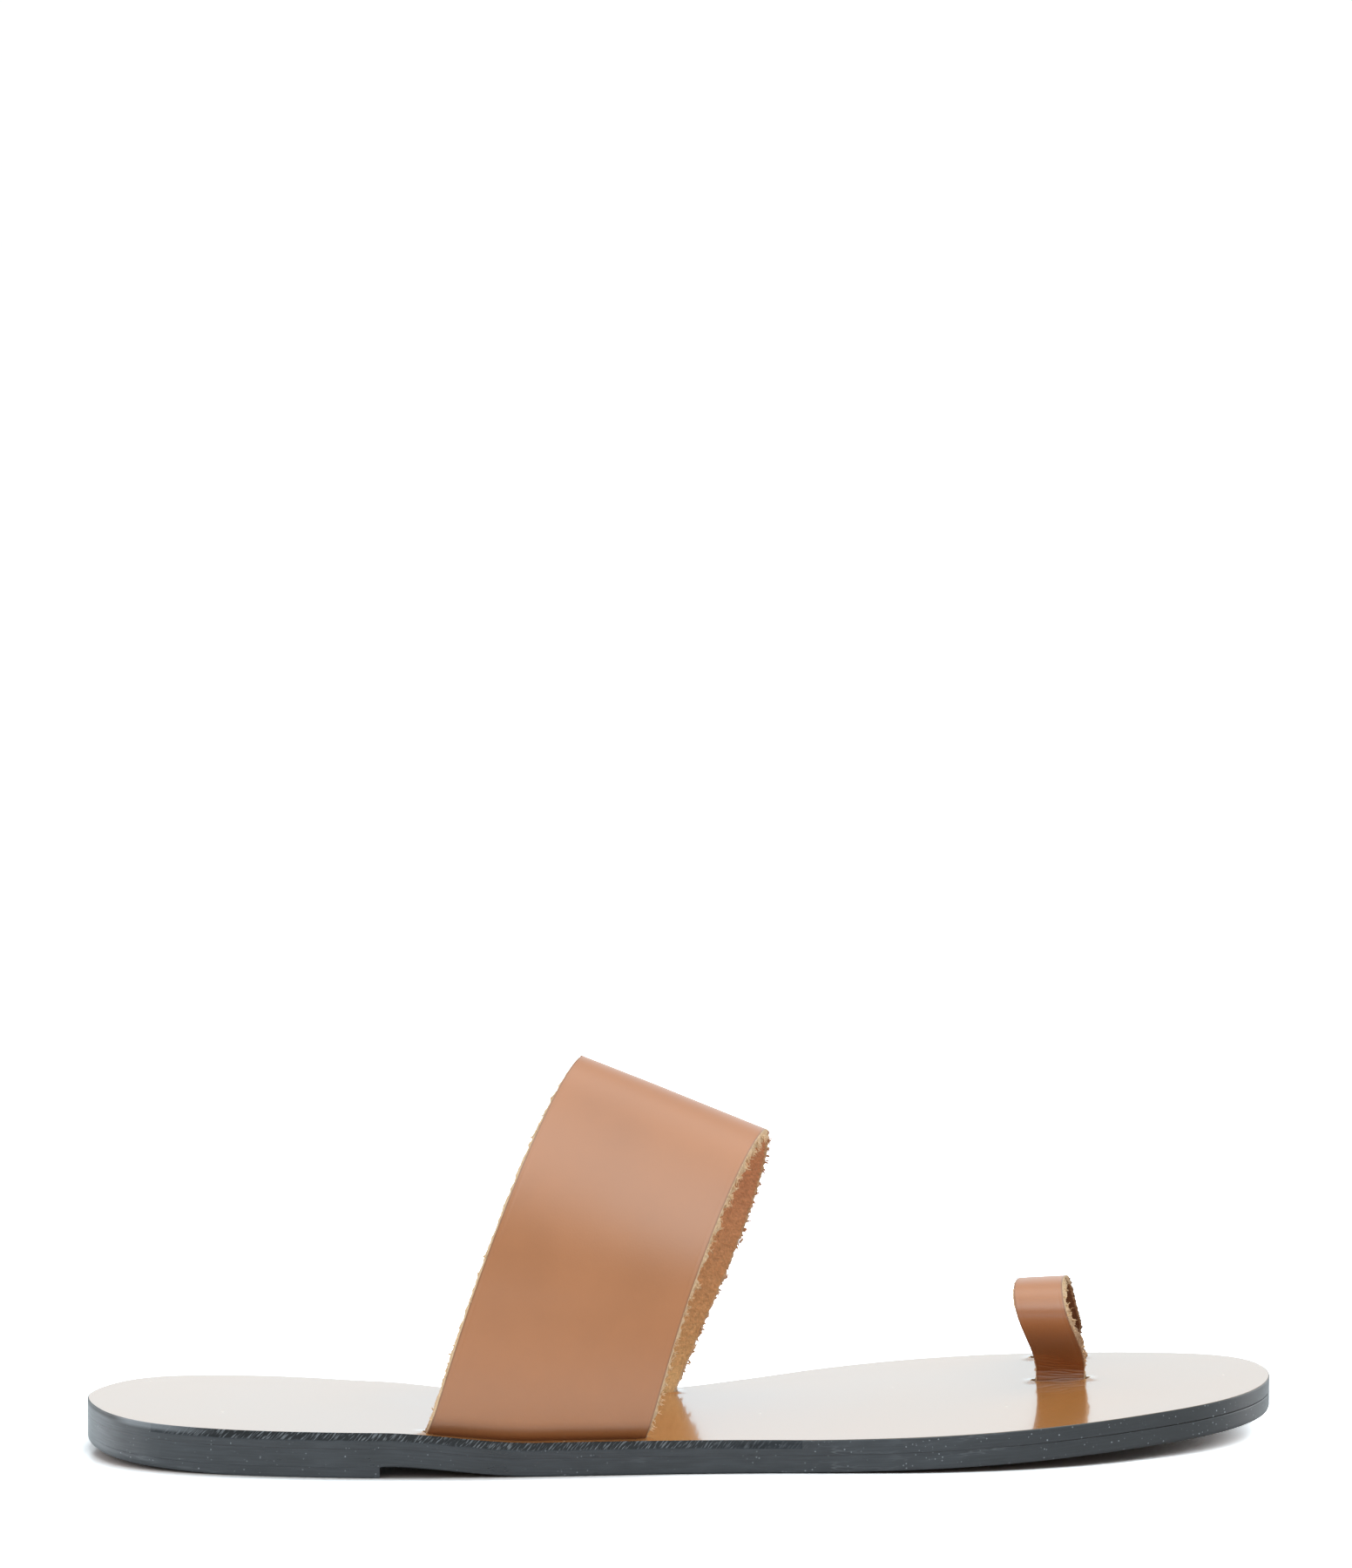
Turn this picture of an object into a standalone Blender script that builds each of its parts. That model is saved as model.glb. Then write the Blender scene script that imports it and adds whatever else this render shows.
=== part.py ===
"""Flat leather slide sandal for the right foot, with a wide instep strap and a loop for the big toe.

+X points to the toe, +Y to the inner side of the foot and +Z up.
The origin lies on the floor under the middle of the sandal.
Sizes are in millimetres and become metres where points are made.
"""

import math
from collections import namedtuple

import bmesh
import bpy

MM = 0.001

# Sole: lengths run from the back of the heel, across runs from the plan's midline
LENGTH = 250.0
INSOLE_THICK = 3.0
OUTSOLE_THICK = 3.6
LIFT_THICK = 2.0
JOINT = 0.3
EDGE_ROUND = 0.5
STATIONS = 56

# Side view: the sole steps down in front of the heel lift and springs at the toe
BREAST = 60.0
WAIST_DOWN = 92.0
HEEL_FLAT = 36.0
HEEL_KICK = 1.6
TREAD_END = 145.0
TOE_SPRING = 4.8
SPRING_POWER = 1.5

# Straps: the legs drop through slots in the insole and stop just above the outsole
STRAP_THICK = 2.2
LOOP_THICK = 2.0
SLOT_ROOM = 0.3
STRAP_SLOT_END = 0.5
LOOP_SLOT_END = 1.0
SLOT_DEPTH = 12.0
STRAP_ARCH_STEPS = 40
STRAP_WIDTH_STEPS = 10
LOOP_ARCH_STEPS = 34
LOOP_WIDTH_STEPS = 4

PlanRow = namedtuple("PlanRow", "along outer inner")
PLAN = (
    PlanRow(0.0, -4.5, -4.5),
    PlanRow(1.2, -13.0, 3.0),
    PlanRow(4.0, -20.4, 10.4),
    PlanRow(10.0, -27.6, 19.6),
    PlanRow(20.0, -33.0, 26.2),
    PlanRow(32.0, -36.6, 27.4),
    PlanRow(45.0, -39.5, 24.4),
    PlanRow(60.0, -41.6, 18.8),
    PlanRow(76.0, -42.4, 15.8),
    PlanRow(95.0, -42.3, 15.0),
    PlanRow(112.0, -41.9, 16.0),
    PlanRow(126.0, -41.8, 19.4),
    PlanRow(140.0, -42.2, 27.2),
    PlanRow(156.0, -43.4, 36.6),
    PlanRow(173.0, -44.2, 42.6),
    PlanRow(190.0, -42.8, 44.4),
    PlanRow(206.0, -39.0, 42.2),
    PlanRow(220.0, -33.8, 38.0),
    PlanRow(233.0, -27.2, 32.0),
    PlanRow(243.0, -17.8, 24.6),
    PlanRow(248.0, -8.0, 16.6),
    PlanRow(250.0, 4.5, 4.5),
)

# Cut edges of the strips: where the legs enter the insole, height above the floor, lean in degrees
StripEdge = namedtuple(
    "StripEdge", "outer_along outer_across inner_along inner_across crest half_width outer_lean inner_lean"
)
INSTEP_EDGES = (
    StripEdge(69.5, -38.6, 77.0, 10.2, 81.8, 29.0, 19.5, 23.5),
    StripEdge(114.4, -37.6, 124.2, 13.2, 65.6, 29.0, 18.0, 22.0),
)
LOOP_EDGES = (
    StripEdge(201.2, 10.0, 204.2, 36.4, 29.8, 15.1, -12.6, -9.0),
    StripEdge(211.4, 9.0, 213.4, 34.4, 30.4, 15.9, -12.6, -9.0),
)

# The loop rises straight from its slots, then leans back and slumps to the outer side: shares of its height
Ease = namedtuple("Ease", "outer_foot inner_foot top straight slump_foot slump shoulder")
LOOP_EASE = Ease(0.2, 0.0, 0.92, 0.35, 0.1, 12.0, 0.8)

Finish = namedtuple("Finish", "color roughness")
TAN_GRAIN = Finish((0.44, 0.22, 0.105), 0.42)
TAN_POLISHED = Finish((0.40, 0.19, 0.075), 0.14)
BROWN_SPLIT = Finish((0.17, 0.085, 0.045), 0.7)
BLACK_RUBBER = Finish((0.035, 0.037, 0.04), 0.55)


def smooth_step(low, high, value):
    share = min(max((value - low) / (high - low), 0.0), 1.0)
    return share * share * (3.0 - 2.0 * share)


def underside(along):
    """Height of the outsole's underside above the floor."""
    over_lift = (LIFT_THICK + JOINT) * (1.0 - smooth_step(BREAST, WAIST_DOWN, along))
    kick = HEEL_KICK * max(0.0, 1.0 - along / HEEL_FLAT) ** 2
    share = max(0.0, along - TREAD_END) / (LENGTH - TREAD_END)
    return over_lift + kick + TOE_SPRING * share**SPRING_POWER


def footbed(along):
    """Height of the insole's top above the floor."""
    return underside(along) + OUTSOLE_THICK + JOINT + INSOLE_THICK


def point(along, across, height):
    return (MM * (along - LENGTH / 2), MM * across, MM * height)


def sweep_angle(along):
    """Turns a length along the sole into an angle, so that both ends of the plan come out round."""
    return math.acos(1.0 - 2.0 * along / LENGTH)


def plan_knots():
    """The plan as one closed curve: the inner edge runs forwards and the outer edge runs back."""
    inner = [(sweep_angle(row.along), row.inner) for row in PLAN]
    outer = [(2.0 * math.pi - sweep_angle(row.along), row.outer) for row in PLAN[-2:0:-1]]
    return inner + outer


def closed_curve(knots, turn):
    """Smooth periodic curve through (angle, value) knots, read at an angle."""
    count = len(knots)

    def knot(index):
        laps, place = divmod(index, count)
        return knots[place][0] + laps * 2.0 * math.pi, knots[place][1]

    def slope(index):
        (t0, v0), (t1, v1), (t2, v2) = knot(index - 1), knot(index), knot(index + 1)
        before, after = t1 - t0, t2 - t1
        return ((v1 - v0) / before * after + (v2 - v1) / after * before) / (before + after)

    start = max(i for i in range(count) if knots[i][0] <= turn + 1e-9)
    (t0, v0), (t1, v1) = knot(start), knot(start + 1)
    span = t1 - t0
    share = (turn - t0) / span
    rise = smooth_step(0.0, 1.0, share)
    lead = share * (1.0 - share) ** 2 * span * slope(start)
    trail = share**2 * (share - 1.0) * span * slope(start + 1)
    return v0 * (1.0 - rise) + v1 * rise + lead + trail


def plan_edges(along):
    """Outer and inner edge of the sole at one length."""
    turn = sweep_angle(along)
    knots = plan_knots()
    return closed_curve(knots, (2.0 * math.pi - turn) % (2.0 * math.pi)), closed_curve(knots, turn)


def stations(end=LENGTH):
    """Lengths along the sole, closer together at its round ends."""
    last = sweep_angle(end)
    steps = max(8, round(STATIONS * last / math.pi))
    return [LENGTH / 2 * (1.0 - math.cos(last * i / steps)) for i in range(steps + 1)]


def new_object(name, mesh_data, finish):
    mesh = bpy.data.meshes.new(name)
    mesh_data.to_mesh(mesh)
    mesh_data.free()
    obj = bpy.data.objects.new(name, mesh)
    bpy.context.scene.collection.objects.link(obj)
    if finish:
        material = bpy.data.materials.new(name)
        material.use_nodes = True
        shader = material.node_tree.nodes["Principled BSDF"]
        shader.inputs["Base Color"].default_value = (*finish.color, 1.0)
        shader.inputs["Roughness"].default_value = finish.roughness
        mesh.materials.append(material)
    return obj


def sole_layer(name, top, thick, finish, end=LENGTH):
    """One sheet of the sole's plan, laid at a height that follows the side view, then thickened downwards."""
    sheet = bmesh.new()
    rows = []
    for along in stations(end):
        outer, inner = plan_edges(along)
        across = [outer] if inner - outer < 0.01 else [outer, (outer + inner) / 2, inner]
        rows.append([sheet.verts.new(point(along, y, top(along))) for y in across])
    for back, front in zip(rows, rows[1:]):
        if len(back) == len(front):
            for i in range(len(back) - 1):
                sheet.faces.new((back[i], front[i], front[i + 1], back[i + 1]))
        elif len(back) == 1:
            sheet.faces.new((back[0], front[0], front[1]))
            sheet.faces.new((back[0], front[1], front[2]))
        else:
            sheet.faces.new((back[0], front[0], back[1]))
            sheet.faces.new((back[1], front[0], back[2]))
    layer = new_object(name, sheet, finish)
    thicken(layer, thick, -1.0)
    rounding = layer.modifiers.new("rounded_edge", "BEVEL")
    rounding.width = EDGE_ROUND * MM
    rounding.segments = 2
    rounding.limit_method = "ANGLE"
    rounding.angle_limit = math.radians(60.0)
    return layer


def thicken(obj, thick, offset):
    shell = obj.modifiers.new("leather", "SOLIDIFY")
    shell.thickness = thick * MM
    shell.offset = offset
    shell.use_even_offset = True


def blend(first, second, share):
    return type(first)(*(a + (b - a) * share for a, b in zip(first, second)))


def slumped(across, height, middle, base, rise, ease):
    """Straightens a leg near its slot and lets the arch above it slump to the outer side."""
    off = across - middle
    beyond = max(abs(off) - base, 0.0) * (1.0 - smooth_step(0.0, ease.straight, height / rise))
    slump = ease.slump * smooth_step(ease.slump_foot, 1.0, height / rise)
    return across - math.copysign(beyond, off) - slump, height


def arch_points(edge, ease, steps):
    """One cut edge of a strip from its outer leg to its inner leg: up, over an ellipse and down again."""
    middle = (edge.outer_across + edge.inner_across) / 2
    base = (edge.inner_across - edge.outer_across) / 2
    dip = math.acos(base / edge.half_width)
    rise = edge.crest - footbed((edge.outer_along + edge.inner_along) / 2)
    reach = rise / (1.0 + math.sin(dip))
    places = [(edge.outer_across, -INSOLE_THICK)]
    for i in range(steps + 1):
        angle = math.pi + dip - (math.pi + 2.0 * dip) * i / steps
        width = math.cos(angle)
        if ease and math.sin(angle) > 0.0:
            width = math.copysign(abs(width) ** ease.shoulder, width)
        places.append((middle + edge.half_width * width, reach * (math.sin(dip) + math.sin(angle))))
    places.append((edge.inner_across, -INSOLE_THICK))
    if ease:
        places = [slumped(across, height, middle, base, rise, ease) for across, height in places]
    points = []
    for across, height in places:
        share = (across - edge.outer_across) / (2.0 * base)
        entry = edge.outer_along + (edge.inner_along - edge.outer_along) * share
        lean = math.radians(edge.outer_lean + (edge.inner_lean - edge.outer_lean) * share)
        climb = max(height, 0.0)
        if ease:
            foot = ease.outer_foot + (ease.inner_foot - ease.outer_foot) * share
            climb = rise * smooth_step(foot, ease.top, height / rise)
        points.append(point(entry + climb * math.tan(lean), across, footbed(entry) + height))
    return points


def strip(name, edges, ease, thick, arch_steps, width_steps, finish):
    """A strip of leather lofted between its rear and its front cut edge."""
    sheet = bmesh.new()
    rows = []
    for i in range(width_steps + 1):
        edge = blend(edges[0], edges[1], i / width_steps)
        rows.append([sheet.verts.new(place) for place in arch_points(edge, ease, arch_steps)])
    for rear, front in zip(rows, rows[1:]):
        for i in range(len(rear) - 1):
            sheet.faces.new((rear[i], front[i], front[i + 1], rear[i + 1]))
    obj = new_object(name, sheet, finish)
    thicken(obj, thick, 0.0)
    return obj


def cut_slot(layer, name, rear, front, thick, end_room):
    """A straight slot through the insole for one leg of a strip."""
    (rear_along, rear_across), (front_along, front_across) = rear, front
    length = math.hypot(front_along - rear_along, front_across - rear_across)
    block = bmesh.new()
    bmesh.ops.create_cube(block, size=1.0)
    sizes = (length + 2.0 * end_room, thick + 2.0 * SLOT_ROOM, SLOT_DEPTH)
    bmesh.ops.scale(block, verts=block.verts, vec=[MM * size for size in sizes])
    cutter = new_object(name, block, None)
    along, across = (rear_along + front_along) / 2, (rear_across + front_across) / 2
    cutter.location = point(along, across, footbed(along) - INSOLE_THICK / 2)
    cutter.rotation_euler.z = math.atan2(front_across - rear_across, front_along - rear_along)
    cutter.hide_render = True
    cutter.display_type = "WIRE"
    cut = layer.modifiers.new(name, "BOOLEAN")
    cut.operation = "DIFFERENCE"
    cut.solver = "EXACT"
    cut.object = cutter


def main():
    for obj in list(bpy.data.objects):
        bpy.data.objects.remove(obj, do_unlink=True)

    sole_layer("heel_lift", lambda along: underside(along) - JOINT, LIFT_THICK, BLACK_RUBBER, BREAST)
    sole_layer("outsole", lambda along: underside(along) + OUTSOLE_THICK, OUTSOLE_THICK, BROWN_SPLIT)
    insole = sole_layer("insole", footbed, INSOLE_THICK, TAN_POLISHED)
    strip("instep_strap", INSTEP_EDGES, None, STRAP_THICK, STRAP_ARCH_STEPS, STRAP_WIDTH_STEPS, TAN_GRAIN)
    strip("toe_loop", LOOP_EDGES, LOOP_EASE, LOOP_THICK, LOOP_ARCH_STEPS, LOOP_WIDTH_STEPS, TAN_GRAIN)

    strips = (
        ("strap", INSTEP_EDGES, STRAP_THICK, STRAP_SLOT_END),
        ("loop", LOOP_EDGES, LOOP_THICK, LOOP_SLOT_END),
    )
    for label, (rear, front), thick, end_room in strips:
        outer = (rear.outer_along, rear.outer_across), (front.outer_along, front.outer_across)
        inner = (rear.inner_along, rear.inner_across), (front.inner_along, front.inner_across)
        cut_slot(insole, f"{label}_outer_slot", *outer, thick, end_room)
        cut_slot(insole, f"{label}_inner_slot", *inner, thick, end_room)


main()
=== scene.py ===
"""Finishes a flat leather slide sandal around its solids and stands it in a white studio.

Points are worked out in millimetres in the solids' own frame and become metres where meshes are made:
+X points to the toe, +Y to the inner side of the foot, +Z up, and the origin lies under the middle.
"""

import math
import random
from collections import namedtuple

import bpy
import numpy as np
from mathutils import Euler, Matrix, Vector, noise


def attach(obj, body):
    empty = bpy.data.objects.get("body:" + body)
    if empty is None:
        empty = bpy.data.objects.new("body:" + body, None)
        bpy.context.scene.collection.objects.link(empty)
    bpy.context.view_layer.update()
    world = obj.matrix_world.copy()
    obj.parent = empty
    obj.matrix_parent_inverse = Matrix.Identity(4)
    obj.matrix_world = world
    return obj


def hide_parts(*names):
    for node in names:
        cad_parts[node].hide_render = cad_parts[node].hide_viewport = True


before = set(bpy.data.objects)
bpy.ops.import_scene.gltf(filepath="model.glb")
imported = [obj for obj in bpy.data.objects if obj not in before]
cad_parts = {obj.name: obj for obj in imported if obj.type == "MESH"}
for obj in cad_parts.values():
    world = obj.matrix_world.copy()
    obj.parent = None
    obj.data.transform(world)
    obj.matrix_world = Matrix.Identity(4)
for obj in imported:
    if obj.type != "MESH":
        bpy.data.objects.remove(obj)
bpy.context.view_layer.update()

bl_info = {
    "name": "Slide Sandal Finish",
    "version": (1, 0, 0),
    "blender": (4, 5, 0),
    "location": "3D View > Sidebar > Sandal",
    "description": "Dresses the solids of a leather slide sandal and stands it in a white studio",
    "category": "Add Mesh",
}

MM = 0.001
BODY = "root"
LAY_MAP = "lay"

# The solids' own sizes, in millimetres from the back of the heel and from the plan's midline
LENGTH = 250.0
INSOLE_THICK = 3.0
OUTSOLE_THICK = 3.6
LIFT_THICK = 2.0
JOINT = 0.3
BREAST = 60.0
WAIST_DOWN = 92.0
HEEL_FLAT = 36.0
HEEL_KICK = 1.6
TREAD_END = 145.0
TOE_SPRING = 4.8
SPRING_POWER = 1.5
STRAP_THICK = 2.2
LOOP_THICK = 2.0
SLOT_ROOM = 0.3
PLAN_STEPS = 1400

# Neighbouring layers close up to each other across half their joint, but for a hair
HAIR = 0.01
CLOSE = JOINT / 2 - HAIR

PlanRow = namedtuple("PlanRow", "along outer inner")
PLAN = (
    PlanRow(0.0, -4.5, -4.5),
    PlanRow(1.2, -13.0, 3.0),
    PlanRow(4.0, -20.4, 10.4),
    PlanRow(10.0, -27.6, 19.6),
    PlanRow(20.0, -33.0, 26.2),
    PlanRow(32.0, -36.6, 27.4),
    PlanRow(45.0, -39.5, 24.4),
    PlanRow(60.0, -41.6, 18.8),
    PlanRow(76.0, -42.4, 15.8),
    PlanRow(95.0, -42.3, 15.0),
    PlanRow(112.0, -41.9, 16.0),
    PlanRow(126.0, -41.8, 19.4),
    PlanRow(140.0, -42.2, 27.2),
    PlanRow(156.0, -43.4, 36.6),
    PlanRow(173.0, -44.2, 42.6),
    PlanRow(190.0, -42.8, 44.4),
    PlanRow(206.0, -39.0, 42.2),
    PlanRow(220.0, -33.8, 38.0),
    PlanRow(233.0, -27.2, 32.0),
    PlanRow(243.0, -17.8, 24.6),
    PlanRow(248.0, -8.0, 16.6),
    PlanRow(250.0, 4.5, 4.5),
)

StripEdge = namedtuple(
    "StripEdge", "outer_along outer_across inner_along inner_across crest half_width outer_lean inner_lean"
)
Ease = namedtuple("Ease", "outer_foot inner_foot top straight slump_foot slump shoulder far_reach")
Strip = namedtuple(
    "Strip",
    "node rear front ease thick steps crowd columns slot_end rear_bevel front_bevel bulge tuck fuzz",
)
Bulge = namedtuple("Bulge", "reach foot full gone")
# Painted shade over a strip's feet: its share at the foot, the heights where it is full and where it is
# gone, and its share on the inside
Tuck = namedtuple("Tuck", "foot full gone inside")
INSTEP_STRAP = Strip(
    "instep_strap",
    StripEdge(69.5, -38.6, 77.0, 10.2, 81.8, 29.0, 19.5, 23.5),
    StripEdge(114.4, -37.6, 124.2, 13.2, 65.6, 29.0, 18.0, 22.0),
    None,
    STRAP_THICK,
    steps=560,
    crowd=0.0,
    columns=26,
    slot_end=0.5,
    rear_bevel=0.15,
    front_bevel=0.9,
    bulge=Bulge(1.7, -1.2, 5.4, 30.0),
    tuck=Tuck(1.0, 0.2, 5.0, 0.0),
    fuzz=1.0,
)
TOE_LOOP = Strip(
    "toe_loop",
    StripEdge(201.2, 10.0, 204.2, 36.4, 29.8, 15.1, -12.6, -9.0),
    StripEdge(211.4, 9.0, 213.4, 34.4, 30.4, 15.9, -12.6, -9.0),
    Ease(0.14, 0.0, 0.98, 0.35, 0.1, 12.0, 0.8, 1.5),
    LOOP_THICK,
    steps=460,
    crowd=0.6,
    columns=20,
    slot_end=1.0,
    rear_bevel=0.2,
    front_bevel=0.7,
    bulge=Bulge(0.3, 2.2, 8.6, 17.2),
    tuck=Tuck(0.55, 9.0, 20.0, 1.0),
    fuzz=0.55,
)

# Sole edges: insets from the outline and drops from the top, plain at the toe and rasped elsewhere
EdgeRing = namedtuple("EdgeRing", "plain_inset plain_drop rasped_inset rasped_drop")
INSOLE_EDGE = (
    EdgeRing(0.24, 0.00, 1.00, 0.00),
    EdgeRing(0.08, 0.07, 0.92, 0.06),
    EdgeRing(0.00, 0.24, 0.85, 0.15),
    EdgeRing(0.00, 0.34, 0.68, 0.45),
    EdgeRing(0.00, 0.60, 0.46, 0.85),
    EdgeRing(0.00, 1.10, 0.24, 1.25),
    EdgeRing(0.00, 1.50, 0.06, 1.55),
    EdgeRing(0.00, 1.80, -0.04, 1.70),
    EdgeRing(0.00, 2.10, 0.00, 1.90),
)
RASP_STARTS = (10.0, 26.0)
RASP_ENDS = (108.0, 160.0)
RASP_DULLS = 0.15
BARE_STARTS = (130.0, 175.0)
# Where painted shade darkens the top of the edge around the heel's back, and where a painted highlight
# lightens it further on
HEEL_SHADE_ENDS = (14.0, 34.0)
HIGHLIGHT_SHARE = 0.9
HIGHLIGHT_STARTS = (5.0, 9.0)
HIGHLIGHT_ENDS = (14.0, 28.0)
SEAM_PLAIN = 0.02
SEAM_TOE = 0.22
SEAM_SHOWS = (150.0, 225.0)
HOLD = 0.12
SOLE_ROWS = 340
SOLE_COLUMNS = 64
HIDDEN_COLUMNS = 8

# Corners of the soles: shares of the rounding, inwards from the wall and off the face
ROUND_CORNER = ((0.0, 1.0), (0.3, 0.3), (1.0, 0.0))
FINE_CORNER = ((0.0, 1.0), (0.08, 0.62), (0.3, 0.3), (0.62, 0.08), (1.0, 0.0))
SHARP_CORNER = ((0.0, 1.0), (1.0, 0.0))
BURNISHED = 0.9
LIFT_BACK_ROUND = 3.2
LIFT_BACK = (6.0, 30.0)

# Strip edges: how far in from the cut each row of points lies and how far it drops below the grain face
RollRow = namedtuple("RollRow", "inset drop")
GRAIN_ROLL = (
    RollRow(0.00, 0.16),
    RollRow(0.03, 0.08),
    RollRow(0.10, 0.02),
    RollRow(0.25, 0.00),
    RollRow(0.50, 0.00),
    RollRow(0.80, 0.005),
    RollRow(1.00, 0.03),
    RollRow(1.20, 0.005),
    RollRow(1.60, 0.00),
)
FLESH_ROLL = (RollRow(0.00, 0.22), RollRow(0.10, 0.05), RollRow(0.45, 0.00), RollRow(1.10, 0.00))
RIM = (0.10, 0.50)
GRAIN, CUT, FLESH = 0, 1, 2
CUT_REACH = 0.05
CUT_STEPS = 8
LEG_STEPS = 5
SOFTEN_ROWS = 12
SOFTEN_STARTS = (1.0, 6.0)
FAR_HALF = (0.45, 0.60)
FAR_TURN = (0.48, 0.60)
FAR_FOOT = (0.0, 0.35)
FAR_EVEN = 0.6
BEVEL_REACH = 3.0
RAGGED_FOOT = 0.6
RAGGED_FULL = (0.0, 9.0)
# Painted shade along the loop's creases: how far above each trough it lies, and how strongly it darkens
CREASE_SHADE_ABOVE = 0.33
CREASE_SHADE_GAIN = 6.0


def smooth_step(low, high, value):
    share = np.clip((value - low) / (high - low), 0.0, 1.0)
    return share * share * (3.0 - 2.0 * share)


def mix(first, second, share):
    return first + (second - first) * share


def underside(along):
    """Height of the outsole's underside above the floor."""
    over_lift = (LIFT_THICK + JOINT) * (1.0 - smooth_step(BREAST, WAIST_DOWN, along))
    kick = HEEL_KICK * np.maximum(0.0, 1.0 - along / HEEL_FLAT) ** 2
    share = np.maximum(0.0, along - TREAD_END) / (LENGTH - TREAD_END)
    return over_lift + kick + TOE_SPRING * share**SPRING_POWER


def footbed(along):
    """Height of the insole's top above the floor."""
    return underside(along) + OUTSOLE_THICK + JOINT + INSOLE_THICK


def plan_knots():
    """The plan as one closed curve of angles and widths: forwards on the inner edge, back on the outer."""

    def turn(row):
        return math.acos(1.0 - 2.0 * row.along / LENGTH)

    inner = [(turn(row), row.inner) for row in PLAN]
    return inner + [(2.0 * math.pi - turn(row), row.outer) for row in PLAN[-2:0:-1]]


def closed_curve(knots, turn):
    """Smooth periodic curve through the knots, read at one angle."""
    count = len(knots)

    def knot(index):
        laps, place = divmod(index, count)
        return knots[place][0] + laps * 2.0 * math.pi, knots[place][1]

    def slope(index):
        (t0, v0), (t1, v1), (t2, v2) = knot(index - 1), knot(index), knot(index + 1)
        before, after = t1 - t0, t2 - t1
        return ((v1 - v0) / before * after + (v2 - v1) / after * before) / (before + after)

    start = max(i for i in range(count) if knots[i][0] <= turn + 1e-9)
    (t0, v0), (t1, v1) = knot(start), knot(start + 1)
    span = t1 - t0
    share = (turn - t0) / span
    rise = share * share * (3.0 - 2.0 * share)
    lead = share * (1.0 - share) ** 2 * span * slope(start)
    trail = share**2 * (share - 1.0) * span * slope(start + 1)
    return v0 * (1.0 - rise) + v1 * rise + lead + trail


def sole_edge(inner, count, end=LENGTH):
    """Evenly spaced points along the sole's inner or outer edge, from the heel forwards."""
    knots = plan_knots()
    last = math.acos(1.0 - 2.0 * end / LENGTH)
    turns = np.linspace(0.0, last, PLAN_STEPS)
    places = turns if inner else (2.0 * math.pi - turns) % (2.0 * math.pi)
    across = np.array([closed_curve(knots, turn) for turn in places])
    along = LENGTH / 2 * (1.0 - np.cos(turns))
    run = np.concatenate([[0.0], np.cumsum(np.hypot(np.diff(along), np.diff(across)))])
    even = np.linspace(0.0, run[-1], count + 1)
    return np.column_stack([np.interp(even, run, along), np.interp(even, run, across)])


def lumps(points, cell):
    """Smooth noise from -1 to 1 at each point, with lumps of about the cell's size."""
    return np.array([noise.noise(Vector(p) / cell) for p in points])


class Draft:
    """Gathers points and faces in millimetres, with a lay map in metres and a finish for each face."""

    def __init__(self):
        self.points = []
        self.faces = []
        self.lays = []
        self.finishes = []
        self.marks = {}

    def add(self, points):
        first = len(self.points)
        self.points.extend(tuple(p) for p in points)
        return np.arange(first, len(self.points))

    def face(self, corners, lay, finish):
        kept = [i for i in range(len(corners)) if corners[i] != corners[i - 1]]
        if len(kept) > 2:
            self.faces.append([int(corners[i]) for i in kept])
            self.lays.extend((lay[i][0] * MM, lay[i][1] * MM) for i in kept)
            self.finishes.append(finish)

    def grid(self, index, lay, finish):
        """Faces between neighbouring rows and columns of an index table."""
        for r in range(index.shape[0] - 1):
            for c in range(index.shape[1] - 1):
                cells = ((r, c), (r, c + 1), (r + 1, c + 1), (r + 1, c))
                self.face([index[cell] for cell in cells], [lay[cell] for cell in cells], finish)

    def mark(self, label, values):
        """Keeps a value for each point, for the materials."""
        self.marks[label] = dict(enumerate(np.ravel(values).tolist()))

    def make(self, name, materials, crease=40.0):
        """Makes the object, with sharp edges where its faces turn by more than the crease's angle."""
        mesh = bpy.data.meshes.new(name)
        scaled = [(MM * (x - LENGTH / 2), MM * y, MM * z) for x, y, z in self.points]
        mesh.from_pydata(scaled, [], self.faces)
        mesh.uv_layers.new(name=LAY_MAP).data.foreach_set("uv", np.array(self.lays, np.float32).ravel())
        for material in materials:
            mesh.materials.append(material)
        mesh.polygons.foreach_set("material_index", self.finishes)
        for label, values in self.marks.items():
            layer = mesh.attributes.new(label, "FLOAT", "POINT")
            for index, value in values.items():
                layer.data[index].value = value
        mesh.shade_smooth()
        mesh.set_sharp_from_angle(angle=math.radians(crease))
        mesh.validate()
        obj = bpy.data.objects.new(name, mesh)
        bpy.context.scene.collection.objects.link(obj)
        return obj


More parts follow.
